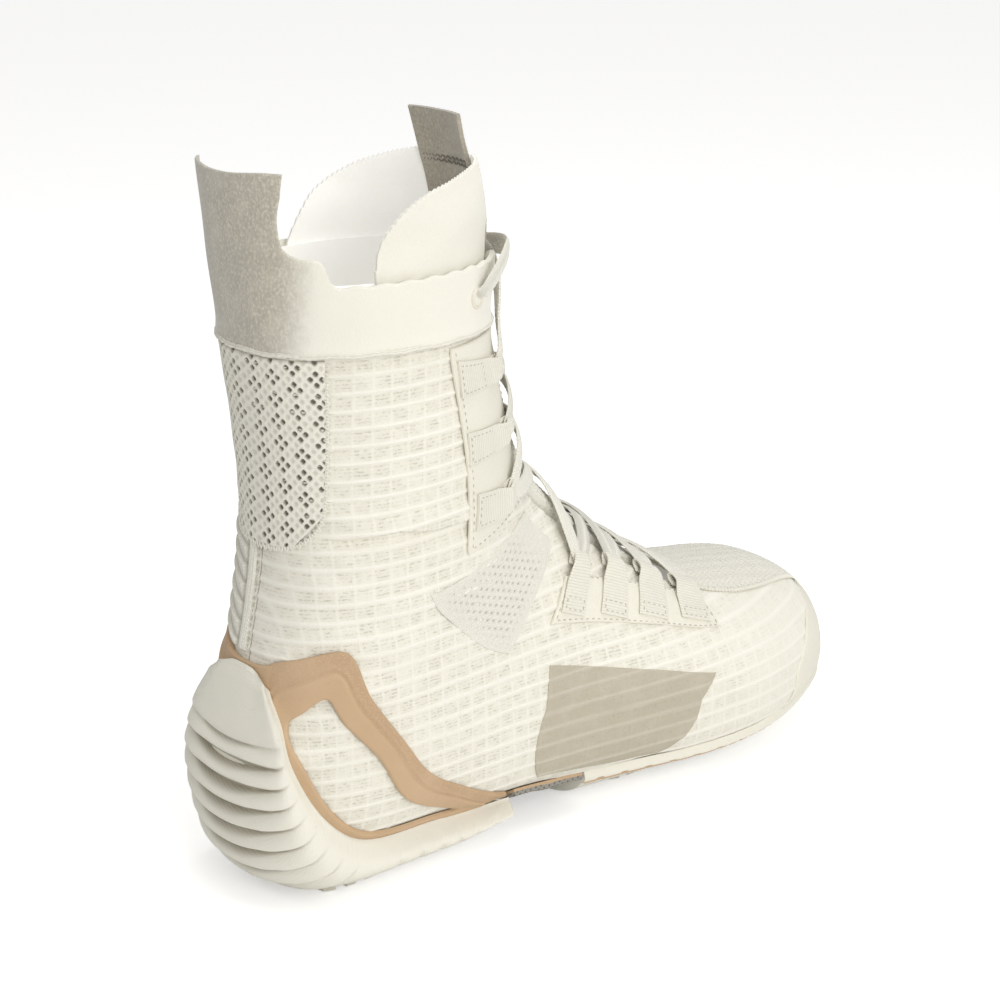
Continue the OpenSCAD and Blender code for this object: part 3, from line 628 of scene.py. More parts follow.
def ripstop():
    """Woven fabric: raised level cords, fainter upright ones, and broken dark rows between."""
    m = Shader("ripstop", (0.825, 0.80, 0.705), 0.78, sheen=0.25)
    x, z = m.axis(m.rest, 0), m.axis(m.rest, 2)
    behind = m.math("MAXIMUM", m.math("DIVIDE", x, -HEEL_BEND), 0.0)
    bend = m.math("ARCSINE", m.math("MINIMUM", behind, 0.985))
    along = m.math("MULTIPLY_ADD", bend, -HEEL_BEND, m.math("MAXIMUM", x, 0.0))
    rib = m.wave(z, RIB_PITCH, -math.pi / 2)
    pane = m.wave(along, CELL_PITCH, -math.pi / 2)
    cord, upright = m.steps(rib, 0.86, 0.985), m.steps(pane, 0.90, 0.99)
    inside = m.math("MULTIPLY", m.steps(rib, 0.90, 0.66), m.steps(pane, 0.99, 0.86, 0.45, 1.0))
    rows = m.steps(m.wave(z, 1.26, 0.6), 0.25, 0.80)
    dash = m.steps(m.noise(0.85, 2, stretch=(0.62, 0.8, 1.5)), 0.49, 0.60)
    toe_fade = m.steps(x, 190, 110, 0.35, 1.0)
    patch = m.math("MULTIPLY", m.steps(m.noise(5.5, 2), 0.34, 0.60, 0.35, 1.0), toe_fade)
    speck = m.math("MULTIPLY", m.math("MULTIPLY", rows, dash), m.math("MULTIPLY", patch, inside))
    m.tint(m.math("MULTIPLY", inside, patch), (0.69, 0.66, 0.555), 0.42)
    m.tint(speck, (0.46, 0.43, 0.345), 0.5)
    m.tint(m.math("MAXIMUM", cord, m.math("MULTIPLY", upright, 0.35)), (0.86, 0.84, 0.755), 0.8)
    soft_dirt(m, 38, 0.10)
    m.raise_by(speck, -0.12).raise_by(m.noise(0.5, 2, stretch=(0.6, 0.6, 1.4)), 0.16)
    m.raise_by(m.math("MULTIPLY", cord, m.wave(x, 1.1)), 0.05)
    return m.done()


def knit(color, pitch=1.7):
    """Fine knit with slanted loops and painted shade between them; shade darkens it: painted shade in holes
    and valleys, and the dark dots of the tongue's net.
    """
    m = Shader("knit", color, 0.85, sheen=0.35)
    u, v = m.axis(m.cloth, 0), m.axis(m.cloth, 1)
    slant = m.math("ADD", v, m.math("MULTIPLY", m.wave(u, pitch), 0.55))
    loop = m.math("MULTIPLY", m.wave(u, pitch / 2), m.wave(slant, pitch * 0.8))
    # painted shade in the valleys between the loops
    m.tint(m.steps(loop, 0.5, 0.05), shaded(color, 0.78), 0.30)
    # where shade is set: painted shade in holes and valleys, and the dark dots of the tongue's net
    m.tint(m.shade, (0.36, 0.33, 0.26), 0.80)
    soft_dirt(m, 30, 0.08)
    m.raise_by(loop, 0.22).raise_by(m.noise(0.5, 2), 0.10)
    return m.done()


def microfibre():
    """Smooth coated fabric with a fine grain."""
    m = Shader("microfibre", (0.79, 0.765, 0.665), 0.56, sheen=0.12)
    grain = m.cells(0.75)
    m.tint(m.steps(grain, 0.35, 0.75), (0.66, 0.63, 0.53), 0.18)
    soft_dirt(m, 26, 0.12)
    m.raise_by(grain, 0.05).raise_by(m.noise(3.0, 4), 0.12)
    m.rough_by(m.noise(7, 3), 0.42, 0.66)
    return m.done()


def suede(name, dark, light=None):
    """Brushed stretch fabric; given a light tone, it fades to it a little way round from the back: painted
    light on the lit sides, with the grey kept at the back.
    """
    m = Shader(name, dark, 0.92, sheen=0.45)
    nap = m.noise(0.8, 5, stretch=(1, 1, 0.7))
    m.tint(m.steps(nap, 0.36, 0.66), shaded(dark, 0.66), 0.6)
    m.tint(m.steps(m.noise(9, 4), 0.42, 0.72), shaded(dark, 1.22), 0.4)
    m.tint(m.steps(nap, 0.30, 0.48, 1.0, 0.0), shaded(dark, 1.35), 0.6)
    # painted light: the sides, which the lamps light, take the pale tone; the back stays grey
    if light:
        lean = m.math("MULTIPLY_ADD", m.axis(m.rest, 2), -0.08, 16.8)
        blur = m.math("MULTIPLY_ADD", m.noise(3, 3), 5.0, -2.5)
        place_x = m.math("ADD", m.math("ADD", m.axis(m.rest, 0), lean), blur)
        m.tint(m.steps(place_x, -39.0, -27.0, 0.0, 0.96), light)
    m.raise_by(nap, 0.16).raise_by(m.noise(6.5, 3), 0.16)
    return m.done()


def spacer_mesh():
    """Open mesh; shade is the depth of its holes and dimples, and darkens them: the holes show the dark
    layer behind the net, and the darkening that grows with depth, in the dimples too, is painted shade.
    """
    m = Shader("spacer_mesh", (0.80, 0.775, 0.68), 0.8, sheen=0.2)
    # dark layer behind the holes, and painted shade that deepens with depth
    m.tint(m.shade, (0.13, 0.115, 0.085), 0.93)
    yarn = m.noise(0.7, 3)
    m.tint(m.steps(yarn, 0.5, 0.7), (0.62, 0.59, 0.50), 0.3)
    m.raise_by(yarn, 0.14)
    return m.done()


def webbing():
    """Ribbed narrow tape, with painted shade between its ribs."""
    m = Shader("webbing", (0.815, 0.79, 0.69), 0.72, sheen=0.3)
    u, v = m.axis(m.cloth, 0), m.axis(m.cloth, 1)
    cord = m.wave(v, 1.15)
    twill = m.wave(m.math("ADD", u, m.math("MULTIPLY", v, 0.6)), 0.55)
    # painted shade in the valleys between the cords
    m.tint(m.steps(cord, 0.30, 0.02), (0.58, 0.55, 0.45), 0.55)
    m.tint(m.shade, (0.40, 0.37, 0.30), 0.8)
    soft_dirt(m, 22, 0.10)
    m.raise_by(cord, 0.16).raise_by(twill, 0.07).raise_by(m.noise(0.6, 2), 0.06)
    return m.done()


def lace_weave():
    """Flat woven lace with a herringbone along its middle, and painted shade in its valleys."""
    m = Shader("lace", (0.83, 0.81, 0.72), 0.7, sheen=0.35)
    u, v = m.axis(m.cloth, 0), m.axis(m.cloth, 1)
    mirror = m.math("ABSOLUTE", m.math("SUBTRACT", u, LACE_WIDTH / 2 - 0.2))
    bone = m.wave(m.math("ADD", v, mirror), 1.25)
    # painted shade in the valleys of the herringbone
    m.tint(m.steps(bone, 0.3, 0.0), (0.60, 0.57, 0.48), 0.5)
    soft_dirt(m, 18, 0.10)
    m.raise_by(bone, 0.18).raise_by(m.wave(u, 0.62), 0.06)
    return m.done()


def film():
    """Taupe film that shows the cords of the fabric under it."""
    m = Shader("film", (0.475, 0.43, 0.335), 0.62)
    x, z = m.axis(m.rest, 0), m.axis(m.rest, 2)
    m.tint(m.steps(m.noise(7, 4), 0.4, 0.7), (0.53, 0.485, 0.39), 0.5)
    m.tint(m.steps(m.noise(1.2, 3), 0.55, 0.66), (0.36, 0.32, 0.25), 0.30)
    m.tint(m.steps(m.wave(z, RIB_PITCH, -math.pi / 2), 0.55, 0.98), (0.60, 0.56, 0.465), 0.40)
    m.raise_by(m.math("MULTIPLY", m.wave(x, 0.85), m.wave(z, 0.65)), 0.06).raise_by(m.noise(2, 3), 0.08)
    return m.done()


def moulded_tan():
    """Moulded tan plastic; its fine dots are strongest where shade is 1."""
    m = Shader("moulded_tan", TAN, 0.58)
    dots = m.cells(0.8)
    dotted = m.math("MULTIPLY", m.steps(dots, 0.1, 0.55), m.steps(m.shade, 0.0, 1.0, 0.12, 1.0))
    m.tint(dotted, (0.42, 0.28, 0.165), 0.55)
    m.tint(m.steps(m.noise(24, 3), 0.40, 0.72), (0.60, 0.43, 0.275), 0.45)
    m.tint(m.steps(m.noise(3.2, 6), 0.60, 0.72), (0.40, 0.27, 0.16), 0.22)
    m.raise_by(dots, 0.07).raise_by(m.noise(5, 3), 0.10)
    m.rough_by(m.noise(9, 3), 0.48, 0.70)
    return m.done()


def rubber(name, color, knurl=0.0):
    """Rubber with darker blotches towards the ground; where shade is set, painted shade darkens its grooves
    and windows.
    """
    m = Shader(name, color, 0.6)
    u, v = m.axis(m.cloth, 0), m.axis(m.cloth, 1)
    # painted shade in the heel cup's grooves and the sole's windows, where shade is set
    m.tint(m.shade, (0.36, 0.325, 0.24), 0.92)
    m.tint(m.steps(m.noise(30, 3), 0.42, 0.75), shaded(color, 0.9), 0.3)
    m.tint(m.steps(m.noise(2.4, 6), 0.62, 0.74), shaded(color, 0.70), 0.25)
    # darker blotches towards the ground
    low = m.steps(m.axis(m.rest, 2), 9.0, 1.0)
    m.tint(m.math("MULTIPLY", low, m.steps(m.noise(4, 5), 0.38, 0.62)), (0.45, 0.41, 0.34), 0.30)
    if knurl:
        fine = m.wave(m.math("ADD", v, m.math("MULTIPLY", u, 0.3)), 1.0)
        m.raise_by(fine, knurl)
        # painted shade in the valleys of the knurl
        m.tint(m.steps(fine, 0.35, 0.0), shaded(color, 0.88), 0.22)
    m.raise_by(m.noise(0.9, 3), 0.05).raise_by(m.noise(6, 3), 0.10)
    m.rough_by(m.noise(11, 4), 0.48, 0.72)
    return m.done()


def shank_weave():
    """Checked weave; the side with a shade of 1 is plain tan."""
    m = Shader("shank_weave", (0.30, 0.285, 0.25), 0.4)
    x, y, z = (m.axis(m.rest, k) for k in range(3))
    a, b = m.math("ADD", x, z), m.math("SUBTRACT", m.math("ADD", y, z), x)
    check = m.math("MULTIPLY", m.steps(m.wave(a, 2.6), 0.4, 0.6), m.steps(m.wave(b, 2.6), 0.4, 0.6))
    m.tint(check, (0.10, 0.095, 0.085), 0.75)
    m.tint(m.steps(m.shade, 0.42, 0.48), TAN)
    m.raise_by(check, 0.08).raise_by(m.noise(4, 3), 0.05)
    return m.done()


def plain_cloth(name, color, grain=0.8, amount=0.12, inner=None, glow=0.0):
    """Soft cloth or foam; with an inner colour, the faces with a shade of 1 have it and a faint glow of
    painted light.
    """
    m = Shader(name, color, 0.88, sheen=0.25)
    if glow:
        m.glow(glow)
    if inner:
        m.tint(m.shade, inner)
        m.glow(m.math("MULTIPLY", m.shade, 0.14))
    n = m.noise(grain, 4)
    m.tint(m.steps(n, 0.45, 0.75), shaded(color, 0.86), 0.25)
    soft_dirt(m, 30, 0.08)
    m.raise_by(n, amount).raise_by(m.noise(5, 2), 0.18)
    return m.done()


def stitch_thread(name, color):
    """Sewing thread."""
    m = Shader(name, color, 0.55, sheen=0.3)
    m.tint(m.noise(1.5, 2), shaded(color, 0.75), 0.4)
    m.raise_by(m.noise(0.4, 1), 0.08)
    return m.done()


MATS = {
    "ripstop": ripstop(),
    "knit": knit((0.81, 0.79, 0.70)),
    "microfibre": microfibre(),
    # grey suede whose pale sides are painted light
    "suede_grey": suede("suede_grey", (0.49, 0.455, 0.375), (0.80, 0.78, 0.69)),
    # grey suede darkened further with painted shade, for the tongue top and its tab
    "tab_grey": suede("tab_grey", (0.37, 0.335, 0.27)),
    "spacer_mesh": spacer_mesh(),
    "webbing": webbing(),
    "lace": lace_weave(),
    "film": film(),
    "moulded_tan": moulded_tan(),
    "rubber_cream": rubber("rubber_cream", CREAM_RUBBER),
    "rubber_knurl": rubber("rubber_knurl", CREAM_RUBBER, knurl=0.04),
    "rubber_taupe": rubber("rubber_taupe", (0.70, 0.67, 0.57)),
    "shank_weave": shank_weave(),
    "label_tan": plain_cloth("label_tan", (0.55, 0.39, 0.25), 0.6, 0.1),
    "foam": plain_cloth("foam", (0.66, 0.64, 0.57), 1.6, 0.3),
    "board": plain_cloth("board", (0.72, 0.70, 0.62)),
    # the lining glows faintly: painted light on the inside of the boot
    "lining": plain_cloth("lining", (0.91, 0.905, 0.875), 0.7, 0.1, glow=0.16),
    # the wing's inner faces take the pale lining colour and glow faintly with painted light
    "wing_cloth": plain_cloth("wing_cloth", (0.79, 0.77, 0.685), 0.9, 0.12, (0.90, 0.895, 0.865)),
    "hard_trim": rubber("hard_trim", (0.74, 0.70, 0.60)),
    "thread": stitch_thread("thread", (0.84, 0.82, 0.73)),
    "thread_shadow": stitch_thread("thread_shadow", (0.50, 0.47, 0.385)),
    "thread_dark": stitch_thread("thread_dark", (0.15, 0.135, 0.105)),
}
# the CAD pieces that show (treads and the like) get the material of their slot
for item in frame["record"]["subparts"]:
    cad = frame["nodes"][item["node"]]
    cad.data.materials.clear()
    cad.data.materials.append(MATS[item["material_slot"]])

# ------------------------------------------------------------------ upper fabric
SIDES = {"lateral": 1, "medial": -1}
TOE_END, TOE_SPLIT, VAMP_SPLIT, SHAFT_END = -0.28, 1.32, 3.0, 12.03
FOLD = [[0, 10.12], [34, 10.16], [70, 9.85], [106, 9.0], [130, 8.62], [157, 8.30]]
CLOTH = 1.7                                # thickness of the upper fabric
LINING_OUTER, LINING_INNER = -3.7, -4.9    # distances of the lining's faces
FOAM_OUTER, FOAM_INNER = -2.1, -3.3        # and of the collar foam's and the wings'
FOOT_TOP_BACK, FOOT_TOP_FRONT = 8.2, 5.75


def fold_line(t):
    """Station of the fold above the ankle at angle t."""
    return table(np.abs(t), FOLD)


def foot_top(t):
    """Station where the foot ends and the ankle begins at angle t."""
    share = np.minimum(np.abs(t), THROAT) / THROAT
    return FOOT_TOP_BACK + (FOOT_TOP_FRONT - FOOT_TOP_BACK) * share


def level_arc(x):
    """Distance along the side of the boot, which bends round the heel behind x = 0."""
    return np.maximum(x, 0) - HEEL_BEND * np.arcsin(np.clip(-x / HEEL_BEND, 0, 0.985))


def ribs(P):
    """Raised cords of the ripstop on level lines, each with a shallow dip under it,
    and fainter upright ones."""
    d = ((P[..., 2] / RIB_PITCH) % 1 - 0.5) * RIB_PITCH
    up = ((level_arc(P[..., 0]) / CELL_PITCH) % 1 - 0.5) * CELL_PITCH
    wobble = (0.9 + 0.25 * wave_noise(P, 9, 3)) * (0.62 + 0.38 * ramp(P[..., 2], 115, 150))
    wobble = wobble * (1 - 0.4 * ramp(P[..., 0], 110, 190))
    return (0.66 * bump(d, 0.6) - 0.26 * bump(d + 1.5, 0.9)) * wobble + 0.08 * bump(up, 0.45)


def fabric_relief(S, T, P):
    """Cords that stop under the knit and at the toe, slow waves, and creases at the ankle."""
    a = np.abs(T)
    knit_zone = ramp(a, 145, 150) * (1 - ramp(S, 2.9, 3.1))
    h = ribs(P) * (1 - knit_zone) * ramp(S, 0.0, 0.5) + 0.22 * wave_noise(P, 34, 11)
    ankle = zone(S, 7.4, 8.3, 10.0, 10.8) * zone(a, 15, 40, 120, 150)
    crease = np.sin(P[..., 2] * 2 * math.pi / 15 + P[..., 0] / 13 + 1.3 * wave_noise(P, 45, 5))
    return h + 0.55 * ankle * crease * (0.7 + 0.4 * wave_noise(P, 30, 8))


def fold_relief(S, T, P):
    """Fabric bulges just above the fold and dips just below it."""
    d = (S - fold_line(T)) * 17.0
    on = zone(np.abs(T), 30, 44, 108, 116)
    above = 1.1 * bump(np.maximum(d, 0), 4.0)
    below = -1.1 * bump(np.minimum(d, 0), 3.2)
    return fabric_relief(S, T, P) + on * np.where(d >= 0, above, below)


def foot_side_grid(side, low, s0, n, m):
    """Side of the foot, ruled between its lower limit and the throat line, as in the CAD."""
    u, v = unit_grid(n, m)
    path = np.array([[0, s0, low], [0.5, 6.5, low], [0.7, 7.6, 0.3], [1, foot_top(0.3), 0.3]])
    low_s, low_t = table(u, path[:, :2]), table(u, path[:, ::2])
    top_s = s0 + (FOOT_TOP_FRONT - s0) * u
    return low_s + (top_s - low_s) * v, side * (low_t + (THROAT - low_t) * v)


COLUMNS = 190


def rows_above(T, low, high, count):
    """Rows of a grid that go on above its last row T, from station low to station high."""
    up = np.linspace(0, 1, count)[1:, None]
    return low(T) + (high(T) - low(T)) * up, np.tile(T, (count - 1, 1))


for label, side in SIDES.items():
    # one cloth from the vamp seam round the heel and up the shaft: foot, ankle and shaft rows
    foot = foot_side_grid(side, FEATHER + 1, VAMP_SPLIT, 240, COLUMNS)
    ankle = rows_above(foot[1][-1], foot_top, fold_line, 120)
    shaft = rows_above(foot[1][-1], fold_line, lambda t: SHAFT_END, 150)
    S, T = (np.concatenate(part) for part in zip(foot, ankle, shaft))
    place(panel("upper_fabric_" + label, S, T, 0.0, -CLOTH, MATS["ripstop"], sides="n", relief=fold_relief),
          at_ankle, "ripstop", "quarter_" + label, "ankle_panel_" + label, "shaft_" + label)

    S, T = rect(TOE_SPLIT, VAMP_SPLIT, 100, FEATHER + 1, THROAT, COLUMNS)
    place(panel("vamp_fabric_" + label, S, side * T, 0.0, -CLOTH, MATS["ripstop"], edge=0,
                relief=fabric_relief), at_toe, "ripstop", "vamp_" + label)

S, T = rect(TOE_END, TOE_SPLIT, 80, FEATHER + 4, 360 - FEATHER - 4, 240)
place(panel("toe_box_fabric", S, np.where(T > 180, T - 360, T), 0.0, -CLOTH, MATS["ripstop"], edge=0,
            relief=fabric_relief), at_toe, "ripstop", "toe_box")

# ------------------------------------------------------------------ knit vamp and its seam
KNIT_EDGE = [[0.42, 158], [0.55, 150.5], [0.9, 149.5], [1.6, 149.5], [2.25, 150], [2.6, 153], [2.98, 157.5]]
KNIT_ROW, KNIT_STITCH, ZIG_PITCH, ZIG_DEPTH = 3.3, 1.6, 6.4, 1.2


def knit_rows(P):
    """Waves from -1 to 1 of the vamp knit: its zigzag rows, and the stitches in a row."""
    x, y = P[..., 0], P[..., 1]
    zig = ZIG_DEPTH * np.abs(((y / ZIG_PITCH) % 1) - 0.5) * 2
    return np.sin((x + zig) * 2 * math.pi / KNIT_ROW), np.sin(y * 2 * math.pi / KNIT_STITCH)


def vamp_knit_relief(S, T, P):
    """Ribbed rows with a fine stitch in them."""
    row, stitch = knit_rows(P)
    return 0.34 * row + 0.12 * stitch + 0.1 * wave_noise(P, 20, 2)


def vamp_knit_shade(S, T, P):
    """Painted shade in the holes at the bottom of the valleys between the rows."""
    row, stitch = knit_rows(P)
    return 0.42 * np.clip(-row, 0, 1) ** 3 * np.clip(stitch, 0, 1)


u, v = unit_grid(170, 130)
S = KNIT_EDGE[0][0] + (KNIT_EDGE[-1][0] - KNIT_EDGE[0][0]) * u
T = 180 + (2 * v - 1) * (180 - table(S, KNIT_EDGE))
place(panel("vamp_knit_panel", S, T, 0.75, -0.2, MATS["knit"], edge=0.7, relief=vamp_knit_relief,
            shade=vamp_knit_shade), at_toe, "knit", "vamp_knit")
for label, side in SIDES.items():
    s = np.linspace(0.5, 2.93, 60)
    t = table(s, KNIT_EDGE) - 0.6
    centre, out = surf(s, side * t, 0.45), normal(s, side * t)
    place(tube("vamp_seam_bead_" + label, centre, 0.9, MATS["webbing"], 8, squash=0.6, up=out), at_toe)
    place(thread("vamp_overlock_" + label, zigzag((surf(s, side * t, 0.95), out), 3.4, 0.85),
                 MATS["thread"], length=3.1, gap=0.2, radius=0.24), at_toe)

# ------------------------------------------------------------------ overlays
RAND = [[66, 1.84], [88, 1.7], [106, 1.35], [134, 0.75], [150, 0.5], [180, 0.4]]
RAND_LOW, TIP_LOW = 63.5, 62.0    # lowest angles of the strip and of its fold at the tip
u, v = rect(0, 1, 34, 0, 1, 150, 0.05)
T = RAND_LOW + (360 - 2 * RAND_LOW) * v
S = TOE_END + (table(np.where(T > 180, 360 - T, T), RAND) - TOE_END) * u
place(panel("toe_rand_strip", S, T, 0.95, 0.1, MATS["microfibre"], edge=0.8, sides="n",
            relief=lambda S, T, P: 0.12 * wave_noise(P, 16, 21)), at_toe, "microfibre", "toe_rand")

# the strip folds down over the tip of the toe, inside the edge of the sole
u, v = unit_grid(16, 60)
upper_rim = surf(TOE_END + 0.04, TIP_LOW + (360 - 2 * TIP_LOW) * v, 0.35)
lower_rim = surf(TOE_END + 0.01, TIP_LOW - 2 * TIP_LOW * v, 1.2)
C = upper_rim + (lower_rim - upper_rim) * u[..., None]
C[..., 0] += 0.55 * np.sin(math.pi * np.clip(u * 1.1, 0, 1))
place(sheet("toe_rand_tip", C, 0.5, MATS["microfibre"]), at_toe)

# corners as [station, angle]: low back, low front, high back, high front
FILM = np.array([[3.7, 63], [5.05, 63], [3.15, 106], [5.6, 106]])
INSERT = np.array([[6.4, 108], [8.5, 91], [6.1, 147], [7.15, 148]])
LOWER_EYESTAY = np.array([[2.88, 131], [5.8, 119], [2.95, 152], [5.68, 136]])
UPPER_EYESTAY = np.array([[8.35, 110], [11.96, 102], [7.3, THROAT], [11.96, THROAT]])
DASH_PITCH, ROW_PITCH = 3.2, 2.7       # dashes of the insert along a row, and its rows
DASH_COS, DASH_SIN = 0.77, 0.64        # their slant
EYESTAY_TOP = 1.42                     # distance of the stitches on the eyestays


def insert_holes(S, P):
    """Slanted dashes in diagonal rows, fading out towards the border of the insert,
    and the number of the row at each point."""
    along = (P[..., 0] * DASH_COS + P[..., 2] * DASH_SIN) / DASH_PITCH
    row = (P[..., 2] * DASH_COS - P[..., 0] * DASH_SIN) / ROW_PITCH
    fa = ((along + 0.5 * np.floor(row)) % 1 - 0.5) * DASH_PITCH
    fb = (row % 1 - 0.5) * ROW_PITCH
    i, j = unit_grid(*S.shape)
    inside = zone(i, 0.03, 0.16, 0.86, 0.97) * zone(j, 0.03, 0.16, 0.66, 0.84)
    return bump(fa + 0.5 * fb, 0.62) * bump(fb, 0.42) * inside, row


def insert_relief(S, T, P):
    """Holes and faint rows."""
    hole, row = insert_holes(S, P)
    return 0.10 * np.sin(row * 2 * math.pi) - 0.55 * hole + 0.15 * wave_noise(P, 25, 4)


def insert_shade(S, T, P):
    """Painted shade in the holes."""
    return 0.95 * insert_holes(S, P)[0]


def soft_waves(size, seed, height):
    """Relief of slow waves only."""
    return lambda S, T, P: height * wave_noise(P, size, seed)


def inset(quad_corners, a, b, s_share, t_share):
    """Path from corner a to corner b of a quad, pulled in towards its middle."""
    middle, pull = quad_corners.mean(0), np.array([s_share, t_share])
    return [corner + (middle - corner) * pull for corner in (quad_corners[a], quad_corners[b])]


for label, side in SIDES.items():
    S, T = quad(FILM, 170, 170)
    place(panel("side_film_panel_" + label, S, side * T, 0.48, 0.04, MATS["film"], edge=0.3,
                relief=fabric_relief, follow=True), at_ankle, "film", "side_film_" + label)
    S, T = quad(INSERT, 150, 170)
    i, j = unit_grid(150, 170)
    T = T + 4.5 * np.sin(math.pi * i) * (1 - j)
    place(panel("instep_insert_knit_" + label, S, side * T, 0.6, 0.03, MATS["knit"], edge=0.5,
                relief=insert_relief, shade=insert_shade), at_ankle, "knit", "instep_insert_" + label)
    # each eyestay: its corners, grid, seed of its waves, and stitch lines as corner pairs
    for tag, corners, n, m, seed, stitch_lines in (
            ("lower", LOWER_EYESTAY, 90, 44, 31,
             ((0, 1, 0.035, 0.10), (2, 3, 0.035, 0.10), (0, 2, 0.035, 0.10), (1, 3, 0.035, 0.10))),
            ("upper", UPPER_EYESTAY, 100, 50, 33,
             ((0, 1, 0.02, 0.07), (0, 2, 0.03, 0.07), (2, 3, 0.02, 0.12)))):
        S, T = quad(corners, n, m, 0.02)
        place(panel(f"{tag}_eyestay_panel_{label}", S, side * T, 1.4, 0.1, MATS["microfibre"], edge=0.8,
                    relief=soft_waves(14, seed, 0.12)), at_ankle, "microfibre", f"{tag}_eyestay_{label}")
        rows = [straight(inset(corners, *stitch_line), EYESTAY_TOP, side) for stitch_line in stitch_lines]
        place(thread(f"{tag}_eyestay_stitching_{label}", rows, MATS["thread_shadow"], 1.7, 1.1, 0.24),
              at_ankle)
    edge_s = np.linspace(8.38, 11.94, 60)
    edge_t = table(edge_s, UPPER_EYESTAY[:2])
    place(tube("upper_eyestay_cord_" + label, surf(edge_s, side * edge_t, 0.95), 0.8, MATS["microfibre"], 8,
               up=normal(edge_s, side * edge_t)), at_ankle)


# ------------------------------------------------------------------ spacer mesh at the back
NET = 3.6    # pitch of the net


def mesh_pattern(u, v):
    """Depth from 0 to 1 of the open mesh: a diagonal net in which staggered groups of
    four cells are open holes and the rest only dimples."""
    a, b = (u + v) / NET, (u - v) / NET
    i, j = np.floor(a), np.floor(b)
    cell = np.maximum(np.abs(a - i - 0.5), np.abs(b - j - 0.5))
    round_cell = np.hypot(a - i - 0.5, b - j - 0.5)
    group = np.isin((i - 3 * j) % 8, (0, 1, 5, 6))
    hole = 1 - ramp(0.5 * (cell + round_cell), 0.25, 0.37)
    dimple = 0.34 * (1 - ramp(0.5 * (cell + round_cell), 0.16, 0.42))
    return np.where(group, hole, dimple)


def mesh_depth(T, P):
    """Depth of the net at points of the back panel."""
    return mesh_pattern((T / 57.3) * 38.0, P[..., 2] * 0.92)


u, v = rect(0, 1, 230, 0, 1, 210, 0.01, 0.01)
S = 10.1 + (SHAFT_END - 0.03 - 10.1) * u
half = 34 + (43 - 34) * u - 14 * np.sqrt(np.clip(1 - (np.minimum(u, 0.16) / 0.16), 0, 1)) ** 2.2
T = (2 * v - 1) * half
# the net's shade is its depth: partly the dark layer behind it, partly painted shade
place(panel("back_mesh_net", S, T, 1.55, 0.1, MATS["spacer_mesh"], edge=0.9,
            relief=lambda S, T, P: -1.15 * mesh_depth(T, P) + 0.15 * wave_noise(P, 20, 9),
            shade=lambda S, T, P: mesh_depth(T, P) ** 1.3),
      at_ankle, "spacer_mesh", "back_mesh_panel")
border = [[11.9, 43], [11.2, 39.6], [10.5, 36.2], [10.3, 33.5], [10.16, 27], [10.1, 18], [10.08, 0]]
for label, side in SIDES.items():
    place(thread("back_mesh_overlock_" + label, zigzag(seam(border, 1.5, side), 2.9, 1.2), MATS["thread"],
                 2.9, 0.1, 0.26), at_ankle)
    line, out = seam(border, 1.05, side)
    place(tube("back_mesh_binding_" + label, line, 0.6, MATS["webbing"], 8, up=out, squash=0.7), at_ankle)


# ------------------------------------------------------------------ padded strip over the heel tendon
STRIP = (-34.0, -2.5)    # angles of its two edges
PLEAT_PITCH, PLEAT_SLANT = 6.6, 8.0


def pleats(T, P):
    """Place across the strip, and place within a pleat, both from 0 to 1."""
    across = (T - STRIP[0]) / (STRIP[1] - STRIP[0])
    return across, ((P[..., 2] + PLEAT_SLANT * across) / PLEAT_PITCH) % 1


def strip_relief(S, T, P):
    """Padded strip with slanted pleats and a rolled border along the back seam."""
    across, pleat = pleats(T, P)
    fold = 1.5 * pleat**1.4 * (1 - ramp(pleat, 0.90, 1.0)) * (1 - ramp(across, 0.74, 0.84))
    roll = 0.55 * bump(across - 0.91, 0.055) - 0.5 * bump(across - 0.82, 0.03)
    return 0.4 * (1 - (2 * across - 1) ** 4) + fold + roll + 0.12 * wave_noise(P, 10, 17)


def strip_shade(S, T, P):
    """Painted shade in the valleys between the pleats, and in the groove beside the roll."""
    across, pleat = pleats(T, P)
    valley = (1 - ramp(pleat, 0.0, 0.5)) * (1 - ramp(across, 0.78, 0.84))
    return 0.75 * valley + 0.6 * bump(across - 0.82, 0.03)


S, T = rect(9.0, 10.08, 220, *STRIP, 90, 0.02, 0.03)
place(panel("achilles_pad", S, T, 0.7, 0.05, MATS["knit"], edge=0.6, relief=strip_relief,
            shade=strip_shade),
      at_ankle, "microfibre", "achilles_strip")
place(thread("achilles_stitching", [straight([[9.02, -1.2], [10.05, -1.2]], 0.35)], MATS["thread_shadow"],
             1.6, 0.9, 0.22), at_ankle)

# ------------------------------------------------------------------ linings and inner boot
S, T = rect(0.2, 2.95, 40, 54, 306, 60)
place(panel("vamp_lining_cloth", S, T, LINING_OUTER, LINING_INNER, MATS["lining"], edge=0),
      at_toe, "lining", "vamp_lining")
pieces = []
for label, side in SIDES.items():
    S, T = foot_side_grid(side, 54, 2.95, 60, 40)
    pieces.append(panel("foot_lining_" + label, S, T, LINING_OUTER, LINING_INNER, MATS["lining"], edge=0))
place(pieces[0], at_ankle, "lining", "foot_lining")
place(pieces[1], at_ankle, "lining")
u, v = unit_grid(40, 90)
T = -THROAT + 2 * THROAT * v
S = foot_top(T) + (9.6 - foot_top(T)) * u
place(panel("ankle_lining_cloth", S, T, LINING_OUTER, LINING_INNER, MATS["lining"], edge=0),
      at_ankle, "lining", "ankle_lining")
S, T = rect(9.6, 12.72, 70, -THROAT, THROAT, 110, 0.02)
place(panel("shaft_lining_cloth", S, T, LINING_OUTER, LINING_INNER, MATS["lining"], edge=0.6, sides="n",
            relief=soft_waves(24, 41, 0.25)), at_ankle, "lining", "shaft_lining")
